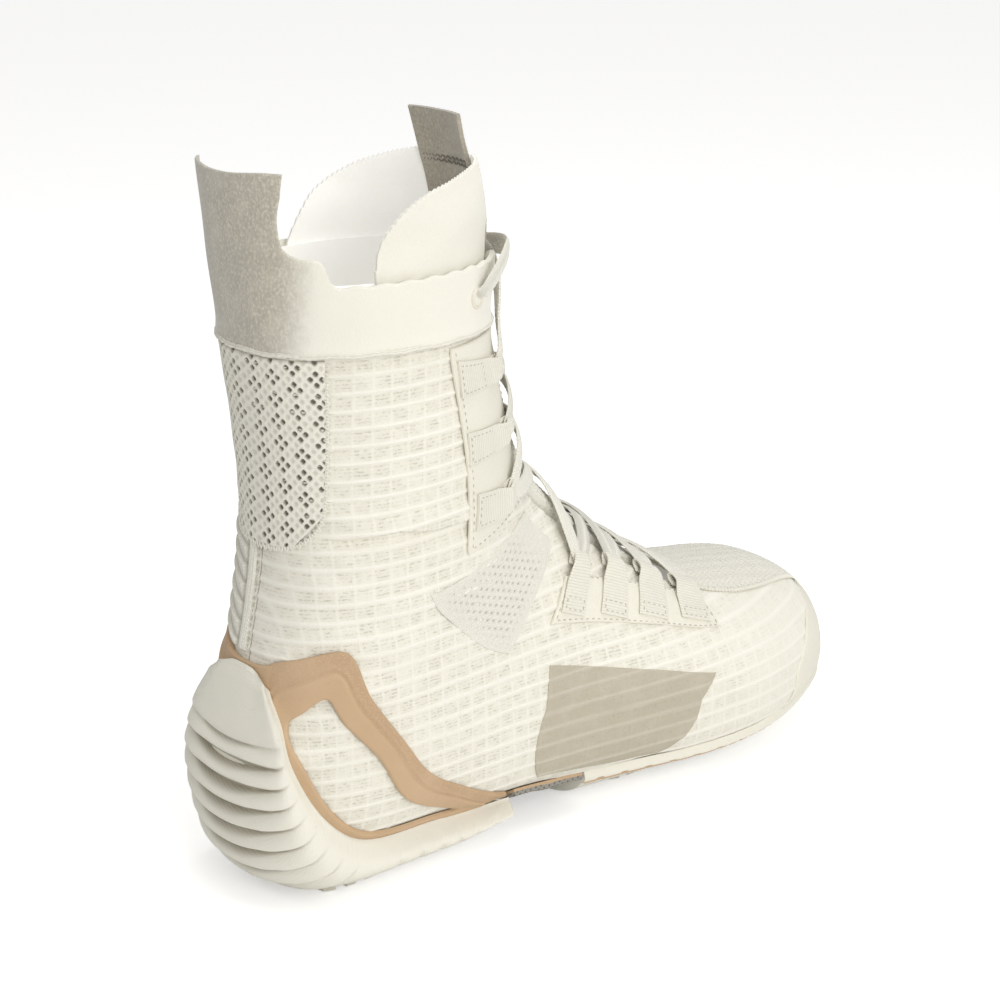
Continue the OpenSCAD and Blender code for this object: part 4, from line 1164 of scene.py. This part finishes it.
S, T = rect(10.2, 11.85, 24, -120, 120, 60, 0.04, 0.03)
place(panel("collar_foam_pad", S, T, FOAM_OUTER, FOAM_INNER, MATS["foam"]),
      at_ankle, "foam", "collar_foam")
S, T = rect(1.0, 6.5, 110, -46.5, 46.5, 30, 0.01, 0.03)
place(panel("insole_board", S, T, -0.1, -1.7, MATS["board"], edge=0), at_toe, "board", "strobel_board")
place(panel("sockliner_pad", S, T, -2.1, -6.4, MATS["foam"], edge=0), at_toe, "foam", "sockliner")


# ------------------------------------------------------------------ heel cup
CUP_EDGE = [[5.2, 47], [6.4, 44], [7.0, 44], [7.5, 41], [8.0, 36], [8.4, 29.5], [8.75, 18], [8.92, 17]]
CUP_X = [[5.2, 43], [5.6, 30], [6.0, 18], [6.5, -4], [6.8, -28], [7.0, -41], [7.25, -49],
         [7.5, -53.5], [8.0, -56], [8.4, -52.5], [8.92, -46]]
CUP_Z = [[5.2, 8.0], [5.6, 3], [6.0, 1], [6.5, 1], [6.8, 1.5], [7.0, 5], [7.25, 11],
         [7.5, 20], [8.0, 42], [8.4, 62], [8.92, 86]]
GROUND_CLEAR = 2.0


def spline_table(s, rows):
    """Smoothed lookup, so that the cup has no facets."""
    rows = np.asarray(rows, float)
    c = smooth_curve(rows, 16)
    return np.interp(s, c[:, 0], c[:, 1])


def heel_cup_mesh():
    """The cup's shell, from its front end under the heel to the top of the back:
    vertices, faces, cloth coordinates and the painted shadow in its grooves."""
    n, m = 340, 200
    u = lines(0, 1, n, 0.012)[:, None]
    w = lines(-1, 1, m, 0.012)[None, :]
    s = 5.22 + (8.92 - 0.2 * np.abs(w) ** 2.5 - 5.22) * u
    edge_t = spline_table(s, CUP_EDGE)
    t = w * edge_t
    rim = surf(s, edge_t, 4.7)
    edge = surf(s, t, 4.7)
    heel_seat = 1.9 * (1 - np.abs(w) ** 4) * ramp(s, 5.3, 5.6) * (1 - ramp(s, 6.6, 6.9))
    inner_wall = surf(s, t, 2.9 - 0.42 * ramp(np.abs(w), 0.9, 0.97) + heel_seat)
    phi = 0.5 * math.pi * np.abs(w)
    p = 0.6 + 0.25 * ramp(s, 6.5, 7.6)
    h = 1 - np.cos(phi) ** p
    x0, z0 = spline_table(s, CUP_X), spline_table(s, CUP_Z)
    y = np.abs(rim[..., 1]) * np.sin(phi) ** p * (1 + 0.2 * np.sin(math.pi * h))
    out = np.stack([x0 + (rim[..., 0] - x0) * h, -np.sign(w) * y, z0 + (rim[..., 2] - z0) * h], -1)
    out = np.where((np.abs(w) > 0.999)[..., None], edge, out)
    # ribs: overlapping shells that follow the stations, deep at the back, fading to the rim
    back = np.linalg.norm(np.diff(np.stack([x0[:, m // 2], z0[:, m // 2]], 1), axis=0), axis=1)
    run = np.concatenate([[0], np.cumsum(back)])
    from_top = run[-1] - run
    top_of_ribs = np.interp(8.42, s[:, m // 2], from_top)
    level = (from_top[:, None] - top_of_ribs + 3.0 * np.abs(w) ** 2) / 8.6
    k = np.clip(level, 0, 8.999)
    f = k % 1
    lip = 0.62 + 0.28 * ramp(np.abs(w), 0.1, 0.85)
    under = np.clip((f - lip) / (1 - lip), 0, 1)
    shell = np.sin(np.clip(f / lip, 0, 1) * math.pi * 0.5) ** 0.75 * (1 - under) ** 1.5
    on = ramp(level, 0, 0.12) * (1 - ramp(level, 8.0, 8.9))
    fade = 1 - ramp(np.abs(w), 0.40, 0.95)
    ribs_h = (3.8 * (shell - 0.72)) * on * fade
    panel_h = 0.5 * (1 - ramp(level, -0.25, 0.0)) * (1 - ramp(np.abs(w), 0.72, 0.86)) * ramp(u, 0, 0.02)
    notch = bump((((s - 5.3) * 4.6) % 1 - 0.5) * 4.0, 0.55) * bump((np.abs(w) - 0.80) * 12, 1.4)
    notch = notch * (1 - ramp(s, 6.4, 6.7))
    grad_u, grad_v = np.gradient(out, axis=0), np.gradient(out, axis=1)
    nrm = unit(np.cross(grad_v, grad_u))
    nrm = np.where((np.sum(nrm * (out - inner_wall), -1) < 0)[..., None], -nrm, nrm)
    out = out + nrm * (ribs_h + panel_h - 1.0 * notch)[..., None]
    roll = 1 - (1 - 0.42 * ramp(np.abs(w), 0.93, 1.0) ** 2) * (1 - 0.42 * ramp(u, 0.975, 1.0) ** 2)
    out = out + (inner_wall - out) * roll[..., None]
    out[..., 2] = np.maximum(out[..., 2], GROUND_CLEAR)
    verts, faces = closed_shell(out, inner_wall * np.ones(out.shape))
    uv = np.stack(arcs(out), -1).reshape(-1, 2)
    # painted shadow: dark under each lip and on the start of the next shell, which the lip above shades
    lip_shadow = 1 - ramp(f, 0.02, 0.10 + 0.34 * (1 - ramp(np.abs(w), 0.0, 0.62)))
    groove = np.maximum(ramp(under, 0.0, 0.25), lip_shadow) * on * np.minimum(1, fade * 1.5)
    return verts, faces, np.concatenate([uv, uv]), np.tile(groove.ravel(), 2)


verts, faces, uv, shade = heel_cup_mesh()
place(make_object("heel_cup_rubber", verts, faces, MATS["rubber_knurl"], uv, shade),
      "foot", "rubber_cream", "heel_cup")

# ------------------------------------------------------------------ heel cage
def soften(points, reach):
    """Closed curve averaged over its neighbours, so that its corners turn gently."""
    k = np.arange(-3 * reach, 3 * reach + 1)
    weight = np.exp(-((k / reach) ** 2))
    return sum(np.roll(points, i, 0) * f for i, f in zip(k, weight)) / weight.sum()


CAGE_LOOP = np.array([
    [[8.95, 12], [8.43, 33]], [[8.95, 27], [8.43, 38]], [[8.85, 48], [8.46, 46]],
    [[8.6, 60], [8.38, 52]], [[8.0, 72], [7.9, 63]], [[7.3, 81], [7.4, 72]],
    [[6.7, 80], [6.9, 71]], [[6.0, 71], [6.3, 63]], [[5.45, 58], [5.95, 54]],
    [[5.2, 45], [5.8, 49.5]], [[5.9, 41], [6.1, 47.5]], [[6.4, 39], [6.5, 47]],
    [[7.0, 39], [7.0, 48]], [[7.5, 36], [7.45, 45.5]], [[8.0, 31], [7.95, 41]],
    [[8.4, 25], [8.2, 35]], [[8.72, 12], [8.38, 32]],
], float)
for label, side in SIDES.items():
    outer, inner = (soften(smooth_curve(CAGE_LOOP[:, k], 16, True), 8) for k in (0, 1))
    c = lines(0, 1, 34, 0.08)[:, None]
    S = inner[None, :, 0] + (outer - inner)[None, :, 0] * c
    T = inner[None, :, 1] + (outer - inner)[None, :, 1] * c

    def cage_relief(S, T, P, c=c):
        """A crease along the band: the inner facet slopes up to it, the outer one lies lower."""
        wide = np.linalg.norm(P[-1] - P[0], axis=1)[None, :]
        show = ramp(wide, 7, 12)
        across = (c - 0.50) * wide
        inner_facet = -0.11 * np.maximum(-across, 0)
        outer_facet = -0.75 * ramp(across, 0.0, 1.1) + 0.30 * bump(across - 2.6, 0.7)
        return show * (0.35 + inner_facet + outer_facet)

    def cage_shade(S, T, P, c=c):
        """The outer facet, which is dotted."""
        wide = np.linalg.norm(P[-1] - P[0], axis=1)[None, :]
        return ramp((c - 0.50) * wide, 0.4, 1.6) * ramp(wide, 7, 12)

    place(panel("heel_cage_frame_" + label, S, side * T, 2.4, 0.35, MATS["moulded_tan"], edge=1.0,
                ring=True, relief=cage_relief, shade=cage_shade), "foot", "moulded_tan")
S, T = rect(8.70, 8.935, 14, -17, 17, 30, 0.1)
place(panel("heel_cage_bridge", S, T, 2.25, 0.4, MATS["moulded_tan"], edge=0.7, sides="ns"),
      "foot", "moulded_tan", "heel_cage")

# ------------------------------------------------------------------ sole
POD_EDGE = [[-0.28, 61], [2.7, 61.5], [3.3, 58], [3.85, 53], [4.4, 50]]
POD_CLEAR = 1.65


def outsole_mesh():
    """Forefoot, flex web and toe rubber as one shell, and the grid of its outer face."""
    n, m = 330, 220
    s = np.linspace(TOE_END, 4.4, n)[:, None]
    w = lines(-1, 1, m, 0.02)[None, :]
    t = w * spline_table(s, POD_EDGE)
    p, nrm = on_last(s, t), normal(s, t)
    floor_t = last_row(s)[..., 1] - POD_CLEAR
    flat = ramp(s, 1.86, 2.9)
    mid_t = 4 + (np.maximum(floor_t, 2) - 4) * flat
    thick = 0.4 + mid_t + (2.0 - mid_t) * np.abs(w) ** 4
    web = ramp(s, 1.82, 1.95) * (1 - ramp(s, 2.8, 2.93)) * (1 - ramp(np.abs(w), 0.86, 0.93))
    thick = thick + (2.2 - thick) * web * 0.7
    groove = np.where((s > 1.9) & (s < 2.86), bump((((s - 1.9) / 0.16) % 1 - 0.5) * 5.5, 0.7), 0)
    groove = groove * (1 - ramp(np.abs(w), 0.9, 0.97))
    lip = 0.9 * bump((np.abs(w) - 0.97) * 30, 1.2)
    a = np.abs(w)
    near_edge = bump((a - 0.955) * 60, 1.0)
    window = near_edge * ramp(bump(((p[..., 0] / 11.0) % 1 - 0.5) * 11.0, 1.7), 0.35, 0.6) * (s > 0.9)
    thick = thick + lip - 0.9 * groove - 0.55 * window - 0.5 * ramp(a, 0.985, 1.0)
    out = p + nrm * thick[..., None]
    out[..., 2] = np.maximum(out[..., 2], POD_CLEAR)
    inner = p + nrm * 0.12
    verts, faces = closed_shell(out, inner)
    uv = np.stack(arcs(out), -1).reshape(-1, 2)
    # the windows carry painted shade: dark in the recesses of the sole's lip
    return verts, faces, np.concatenate([uv, uv]), np.tile((window * 0.9).ravel(), 2), out


verts, faces, uv, shade, sole_skin = outsole_mesh()
place(make_object("forefoot_outsole_rubber", verts, faces, MATS["rubber_cream"], uv, shade),
      at_toe, "rubber_cream", "forefoot_outsole", "sole_flex_web", "toe_outsole")
for label, column in (("lateral", -12), ("medial", 11)):
    line = sole_skin[95:, column]
    out = unit(line - sole_skin[95:, sole_skin.shape[1] // 2] + np.array([0, 0, 1e-3]))
    place(tube("sole_pinstripe_" + label, line, 0.55, MATS["moulded_tan"], 6, up=out), at_toe)

S, T = rect(4.42, 5.18, 40, -50, 50, 110, 0.03, 0.01)
place(panel("shank_plate", S, T, 3.0, 0.4, MATS["shank_weave"], edge=0.8,
            relief=lambda S, T, P: 0.5 * bump((S - 4.8) * 40, 2.5), inner_tone=1.0),
      "foot", "shank_weave", "midfoot_shank")

# ------------------------------------------------------------------ webbing loops
# station of the foot, station of the lace end, angle of the foot, angle of the lace end
LOWER_LOOPS = [[3.28, 3.17, 133, 152], [4.0, 3.83, 129.5, 152], [4.68, 4.6, 126, 147],
               [5.46, 5.45, 123.5, 141]]
UPPER_LOOPS = [[8.95, 8.27, 112, 134.5], [10.25, 9.74, 106, 134.5], [11.48, 11.23, 104.5, 134.5]]
LOWER_PITCH, UPPER_PITCH = 22.0, 17.0


def loop_mesh(name, loop, pitch, side, width=10.2):
    """A folded strap: up from its stitched foot, round the lace and back under itself."""
    foot, end, low, tip = loop
    path = smooth_curve([[low, 1.95], [low + (tip - 8 - low) * 0.5, 2.0], [tip - 8, 2.3], [tip - 4, 3.2],
                         [tip, 4.2], [tip + 3.6, 4.0], [tip + 5.2, 2.9], [tip + 3.8, 1.8], [tip, 1.3]], 12)
    k = np.clip((path[:, 0] - low) / (tip - low), 0, 1)
    centre_s = foot + (end - foot) * k
    w = np.linspace(-1, 1, 25)
    pinch = 1 - 0.18 * ramp(path[:, 0], tip - 8, tip + 2)
    half = width / 2 / pitch * pinch
    s = centre_s[:, None] + half[:, None] * w[None, :]
    C = surf(s, side * path[:, 0][:, None], path[:, 1][:, None])
    arc = np.concatenate([[0], np.cumsum(np.linalg.norm(np.diff(C[:, 12], axis=0), axis=1))])
    fine = np.linspace(0, arc[-1], int(arc[-1] / 0.33))
    C = np.stack([[np.interp(fine, arc, C[:, j, q]) for j in range(25)] for q in range(3)], -1)
    C = C.transpose(1, 0, 2)
    cords = 0.09 * np.abs(np.sin(fine * math.pi / 1.3))[:, None] * np.ones((1, 25))
    return sheet(name, C, 0.5, MATS["webbing"], relief=cords)


def loop_stitches(loop, pitch, side, reach):
    """Box of stitches on the foot of a loop."""
    foot, end, low, tip = loop
    h = 3.9 / pitch
    slope = (end - foot) / (tip - low)
    a, b = low + 1.4, low + reach
    mid_a, mid_b = foot + slope * (a - low), foot + slope * (b - low)
    box = [[mid_a - h, a], [mid_a + h, a], [mid_b + h, b], [mid_b - h, b], [mid_a - h, a]]
    return straight(box, 2.55, side)


for label, side in SIDES.items():
    for tag, loops, pitch, reach in (("lower", LOWER_LOOPS, LOWER_PITCH, 5.5),
                                     ("upper", UPPER_LOOPS, UPPER_PITCH, 17)):
        for i, loop in enumerate(loops):
            piece = loop_mesh(f"{tag}_loop_{label}_{i}", loop, pitch, side)
            place(piece, at_ankle, "webbing", *([f"{tag}_loops_{label}"] if i == 0 else []))
        rows = [loop_stitches(loop, pitch, side, reach) for loop in loops]
        place(thread(f"{tag}_loop_stitching_{label}", rows, MATS["thread_shadow"], 1.5, 0.9, 0.2), at_ankle)


# ------------------------------------------------------------------ laces
def lace(name, knots):
    """Flat lace through knots of [station, angle, distance, width share]."""
    q = smooth_curve(knots, 14)
    C0 = surf(q[:, 0], q[:, 1], q[:, 2])
    out = normal(q[:, 0], q[:, 1])
    line, at = resample(np.concatenate([C0, out, q[:, 3:4]], 1), 0.8)
    c, n, share = line[:, :3], unit(line[:, 3:6]), line[:, 6]
    t = unit(np.gradient(c, axis=0))
    side = unit(np.cross(n, t))
    m = 11
    w = np.linspace(-1, 1, m)
    C = c[:, None] + side[:, None] * (share[:, None] * LACE_WIDTH / 2 * w[None, :])[..., None]
    C = C - n[:, None] * (0.35 * (w**2))[None, :, None]
    rel = 0.07 * np.sin(at[:, None] * 2 * math.pi / 1.3 + np.abs(w)[None, :] * 5)
    return sheet(name, C, 0.62, MATS["lace"], relief=rel)


ROWS = LOWER_LOOPS + UPPER_LOOPS


def mirrored(knots):
    """Lace knots moved to the other side of the boot."""
    return [[s, 360 - t, h, w] for s, t, h, w in knots]


def crossing(i, side):
    """Knots from loop i on one side to loop i + 1 on the other."""
    a, b = ROWS[i][1], ROWS[i + 1][1]
    ta, tb = ROWS[i][3] + 1.5, 360 - ROWS[i + 1][3] - 1.5
    over = 4.9 if side > 0 else 3.4
    stops = ((0, 2.9, 0.75), (0.10, 3.9, 0.9), (0.30, over, 1), (0.5, over + 0.3, 1), (0.70, over, 1),
             (0.90, 3.9, 0.9), (1, 2.9, 0.75))
    knots = [[a + (b - a) * k, ta + (tb - ta) * k, h, wide] for k, h, wide in stops]
    return mirrored(knots) if side < 0 else knots


def lace_run(side, first, count):
    """Knots of one lace end that zigzags over count crossings."""
    knots = []
    for k in range(count):
        part = crossing(first + k, side if k % 2 == 0 else -side)
        knots += part if not knots else part[1:]
    return knots


groups = [("lower_lace", 0, 3), ("ankle_lace", 3, 1), ("upper_lace", 4, 2)]
for name, first, count in groups:
    for label, side in SIDES.items():
        start = side if first % 2 == 0 else -side
        piece = lace(f"{name}_strand_{label}", lace_run(start, first, count))
        place(piece, at_ankle, "lace", *([name] if side > 0 else []))
bar = [[3.15, 154, 3.0, 0.8], [3.06, 160, 3.8, 0.95], [3.0, 171, 3.9, 1], [3.0, 180, 3.9, 1],
       [3.0, 189, 3.9, 1], [3.06, 200, 3.8, 0.95], [3.15, 206, 3.0, 0.8]]
place(lace("lower_lace_bar", bar), at_ankle, "lace")

EYELET_S, EYELET_T = 12.42, 120.0
for label, side in SIDES.items():
    top = 0.6 * side
    knots = [[11.23, 224, 2.9, 0.75], [11.5, 218, 4.4, 0.9], [11.9, 210, 4.9 + top, 1],
             [12.3, 203, 5.1 + top, 1], [12.56, 192, 5.5 + top, 1], [12.68, 180, 5.6 + top, 1],
             [12.74, 166, 5.6 + top, 1], [12.76, 154, 5.5 + top, 1], [12.76, 144, 5.8, 1],
             [12.7, 134, 5.8, 0.95], [12.58, 126.5, 5.0, 0.9], [12.47, 121.8, 3.2, 0.75],
             [EYELET_S, EYELET_T, -1.2, 0.5]]
    place(lace(f"collar_lace_strand_{label}", mirrored(knots) if side < 0 else knots),
          at_ankle, "lace", *(["collar_lace"] if side > 0 else []))

# ------------------------------------------------------------------ collar
BAND_TOP = [[0, 13.15], [30, 13.15], [33, 13.08], [38, 13.04], [44, 13.03], [46.5, 13.0], [48, 12.93],
            [49, 12.80], [52, 12.74], [180, 12.72]]
BAND_LOW = 12.06


def at_heel_tab(obj):
    """Bake the transform into a piece that goes with the heel pull tab."""
    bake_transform(obj)


def band_relief(S, T, P):
    """Slow waves and a roll along the lower edge."""
    return 0.35 * wave_noise(P, 26, 51) + 0.6 * bump((S - BAND_LOW) * 30, 3.0)


U, V = rect(0, 1, 60, 0, 1, 260, 0.03, 0.004)
T = -THROAT + 2 * THROAT * V
top = table(np.abs(T), BAND_TOP) + 0.012 * np.sin(T * 0.55) * (np.abs(T) > 52)
S = BAND_LOW + (top - BAND_LOW) * U
inner = -1.7 + 2.0 * ramp(S, 12.62, 12.78)
below_tab = (np.abs(T) < 29.6) & (S > 12.6)
place(panel("collar_band_cloth", S, T, 1.4, inner, MATS["suede_grey"], edge=0.75, relief=band_relief,
            keep=np.where(below_tab, 0.0, 1.0)), at_heel_tab, "suede_grey", "collar_band")

U, V = rect(0, 1, 60, 0, 1, 70, 0.03, 0.02)
tab_half = 30 - 1.2 * np.sin(math.pi * np.clip(U * 1.5, 0, 1)) + 5.0 * U**2
T = (2 * V - 1) * tab_half
S = 13.15 + (13.90 + 0.015 * np.sin(V * 9) - 13.15) * U
place(panel("heel_pull_tab_cloth", S, T, 1.4, 0.3, MATS["suede_grey"], edge=0.6, sides="new",
            relief=soft_waves(26, 51, 0.35)), at_heel_tab, "suede_grey", "heel_pull_tab")

t = np.linspace(-THROAT, THROAT, 400)
wob = 1.0 + 0.05 * np.sin(t * 0.9) + 0.05 * np.sin(t * 2.3 + 1)
centre = surf(12.055 + 0.006 * np.sin(t * 0.31) + 0.004 * np.sin(t * 1.7), t, 1.55)
place(tube("collar_piping_roll", centre, 1.0 * wob, MATS["webbing"], 12, up=normal(12.05 + 0 * t, t)),
      "shaft", "webbing", "collar_piping")
place(thread("collar_piping_stitching", [(surf(11.93, t, 0.75), normal(11.93 + 0 * t, t))],
             MATS["thread"], 1.8, 1.0, 0.24), "shaft")

for label, side in SIDES.items():
    n = normal(EYELET_S, side * EYELET_T)
    c = surf(EYELET_S, side * EYELET_T, 1.55)
    e1 = unit(np.cross(n, [0, 0, 1.0]))
    e2 = np.cross(n, e1)
    a = np.linspace(0, 2 * math.pi, 40, endpoint=False)
    ring = c + 3.1 * (np.cos(a)[:, None] * e1 + np.sin(a)[:, None] * e2)
    place(tube("collar_eyelet_ring_" + label, ring, 0.75, MATS["hard_trim"], 10, closed=True,
               up=np.tile(n, (40, 1))), "shaft", "hard_trim", *(["collar_eyelets"] if side > 0 else []))

WING_TOP = [[70, 12.86], [72, 13.04], [76, 13.20], [86, 13.42], [96, 13.54], [104, 13.60], [132, 13.70],
            [155, 13.75], [161, 13.75]]
# the free edge of the medial wing starts further forward and rises more slowly
WING_TOP_MEDIAL = [[84, 12.5], [87, 12.74], [89, 12.84], [95, 13.06], [104, 13.28], [124, 13.52],
                   [143, 13.64], [161, 13.72]]


WING_LOW, WING_FRONT = 12.45, 160.5


def wing_mesh(label, side):
    """A stretch collar wing; its upper part leans outwards."""
    U, V = rect(0, 1, 80, 0, 1, 150, 0.02, 0.01)
    back = 69.5 if side > 0 else 85.0
    T = back + (WING_FRONT - back) * V
    c = smooth_curve(WING_TOP if side > 0 else WING_TOP_MEDIAL, 12)
    top = np.interp(T, c[:, 0], c[:, 1]) + 0.010 * np.sin(T * 2.4)
    S = WING_LOW + (top - WING_LOW) * U
    flare = 1.6 * ramp(S, 12.8, 13.4) * ramp(T, back + 2.5, back + 30.5)
    return panel("collar_wing_cloth_" + label, S, side * T, FOAM_OUTER + flare, FOAM_INNER + flare,
                 MATS["wing_cloth"], edge=0.5, sides="new",
                 relief=lambda S, T, P: 0.5 * wave_noise(P, 30, 61) * ramp(S, 12.8, 13.2), follow=True,
                 inner_tone=1.0)


for label, side in SIDES.items():
    def at_wing(obj, label=label):
        """Bake the transform into a piece that goes with the wing."""
        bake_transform(obj)
    place(wing_mesh(label, side), at_wing, "knit", "collar_wing_" + label)


# ------------------------------------------------------------------ tongue
NET_WIDE, NET_ROWS = 2.4, 6.5    # mm per mesh across, meshes per station along


def tongue_half(s):
    """Half the angle that the tongue covers."""
    return 31 + (19 - 31) * ramp(s, 10.8, 11.5)


def tongue_rise(s):
    """Distance of the tongue's outer face, which lies deeper under the lacing."""
    return -5.8 * (1 - ramp(s, 11.6, 12.6))


def tongue_grid(s0, s1, n, m, edge=0.0):
    """Grid over the tongue from station s0 to s1."""
    U, V = rect(0, 1, n, 0, 1, m, edge, 0.03)
    S = s0 + (s1 - s0) * U
    return S, 180 + (2 * V - 1) * tongue_half(S)


def tongue_puff(S, T, P):
    """The padding swells through the throat, with a fine net on it."""
    a = np.abs(T - 180)
    inside = 1 - ramp(a, 18.0, 22.9)
    arch = 0.5 * ramp(S, 5.0, 6.3) * (1 - ramp(S, 8.0, 9.4)) * (1 - ramp(a, 12, 27))
    puff = 7.7 * inside * ramp(S, 3.04, 3.5) * (1 - ramp(S, 11.5, 12.3)) + arch
    net = 0.22 * np.sin(P[..., 1] * 2 * math.pi / NET_WIDE) * np.sin(S * 2 * math.pi * NET_ROWS)
    return puff + net + 0.2 * wave_noise(P, 18, 71)


def tongue_shade(S, T, P):
    """Dark dots in the net."""
    a, b = P[..., 1] / NET_WIDE, S * NET_ROWS
    return 0.55 * bump((a % 1 - 0.5) * 2.4, 0.5) * bump((b % 1 - 0.5) * 2.4, 0.5)


S, T = tongue_grid(3.02, 12.62, 330, 80)
place(panel("tongue_body", S, T, tongue_rise(S), tongue_rise(S) - 3.2, MATS["knit"], edge=0.8, sides="sew",
            relief=tongue_puff, shade=tongue_shade), at_ankle, "knit", "tongue")


def at_tongue(obj):
    """Bake the transform into a piece that goes with the tongue top."""
    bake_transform(obj)


def at_tongue_tab(obj):
    """Bake the transform into a piece that goes with the tongue's pull tab."""
    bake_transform(obj)


S, T = tongue_grid(12.60, 13.68, 60, 60, 0.02)
place(panel("tongue_top_cloth", S, T, 0.0, -3.0, MATS["tab_grey"], edge=0.8, sides="new",
            relief=soft_waves(20, 73, 0.3)), at_tongue, "suede_grey", "tongue_top")
S, T = rect(12.95, 13.5, 24, 166, 194, 30, 0.06, 0.06)
place(panel("tongue_patch", S, T, 1.3, 0.25, MATS["label_tan"]),
      at_tongue, "label_tan", "tongue_label")
patch = [[12.98, 167], [13.47, 167], [13.47, 193], [12.98, 193], [12.98, 167]]
place(thread("tongue_patch_stitching", [straight(patch, 1.32)], MATS["thread"], 1.6, 1.0, 0.22), at_tongue)
U, V = rect(0, 1, 50, 0, 1, 50, 0.03, 0.03)
T = 180 + (2 * V - 1) * (18.6 + 1.0 * U)
S = 13.55 + (14.22 - 13.55) * U
# the tab's darker grey is partly painted shade on the tongue's inner side
place(panel("tongue_pull_tab_cloth", S, T, -1.6, -3.2, MATS["tab_grey"], edge=0.6,
            relief=soft_waves(22, 75, 0.35), follow=True), at_tongue_tab, "suede_grey", "tongue_pull_tab")
# two zigzag seams on the inner face, so their normals point inwards
rows = [(line, -out) for s in (13.62, 13.67)
        for line, out in zigzag(straight([[s, 163], [s, 197]], -3.3), 1.6, 1.3)]
place(thread("tongue_tab_stitching", rows, MATS["thread_dark"], 1.9, 0.1, 0.3), at_tongue_tab)

# ------------------------------------------------------------------ studio
WORLD_LIGHT, WORLD_SEEN, FLOOR_LIFT = 0.54, 0.95, 0.42
m = Shader("studio_floor", (0.90, 0.90, 0.895), 0.9)
m.raise_by(m.noise(30, 2), 0.01)
seen = m.tree.nodes.new("ShaderNodeLightPath")
m.bsdf.inputs["Emission Color"].default_value = (1, 1, 1, 1)
m.link(m.math("MULTIPLY", seen.outputs["Is Camera Ray"], FLOOR_LIFT), m.bsdf.inputs["Emission Strength"])
bpy.ops.mesh.primitive_plane_add(size=8, location=(0, 0, -0.0004))
floor = bpy.context.object
floor.name = "studio_floor"
floor.data.materials.append(m.done())
world = bpy.data.worlds.new("studio")
bpy.context.scene.world = world
world.use_nodes = True
backdrop = world.node_tree.nodes["Background"]
backdrop.inputs[0].default_value = (1, 0.995, 0.985, 1)
path = world.node_tree.nodes.new("ShaderNodeLightPath")
level = world.node_tree.nodes.new("ShaderNodeMapRange")
level.inputs["To Min"].default_value = WORLD_LIGHT
level.inputs["To Max"].default_value = WORLD_SEEN
world.node_tree.links.new(path.outputs["Is Camera Ray"], level.inputs["Value"])
world.node_tree.links.new(level.outputs["Result"], backdrop.inputs[1])


def softbox(name, place_at, target, size, power, color=(1, 1, 1)):
    """Square area light of size m and power W that faces its target."""
    light = bpy.data.lights.new(name, "AREA")
    light.size = size
    light.energy = power
    light.color = color
    obj = bpy.data.objects.new(name, light)
    bpy.context.scene.collection.objects.link(obj)
    obj.location = place_at
    obj.rotation_mode = "QUATERNION"
    obj.rotation_quaternion = (Vector(target) - Vector(place_at)).to_track_quat("-Z", "Y")


softbox("key", (0.45, -0.95, 0.75), (0.07, 0, 0.12), 0.5, 1.8, (1.0, 0.985, 0.96))
softbox("fill", (-0.25, -1.05, 0.55), (0.07, 0, 0.12), 0.6, 4.9, (1.0, 0.99, 0.97))
softbox("top", (0.1, -0.1, 1.3), (0.07, 0, 0.1), 0.7, 4.3)

camera = bpy.data.cameras.new("camera")
cam = bpy.data.objects.new("camera", camera)
bpy.context.scene.collection.objects.link(cam)
AZ, EL, DISTANCE = math.radians(-42.5), math.radians(20), 0.85
TARGET = Vector((0.09, 0, 0.11))
back = Vector((math.sin(AZ) * math.cos(EL), -math.cos(AZ) * math.cos(EL), math.sin(EL)))
cam.location = TARGET + back * DISTANCE
cam.rotation_mode = "QUATERNION"
cam.rotation_quaternion = (-back).to_track_quat("-Z", "Y")
camera.sensor_width = 36
camera.lens = 80.4
camera.shift_x, camera.shift_y = -0.0264, 0.0119
camera.clip_start = 0.01
bpy.context.scene.camera = cam
bpy.context.scene.view_settings.view_transform = "Standard"
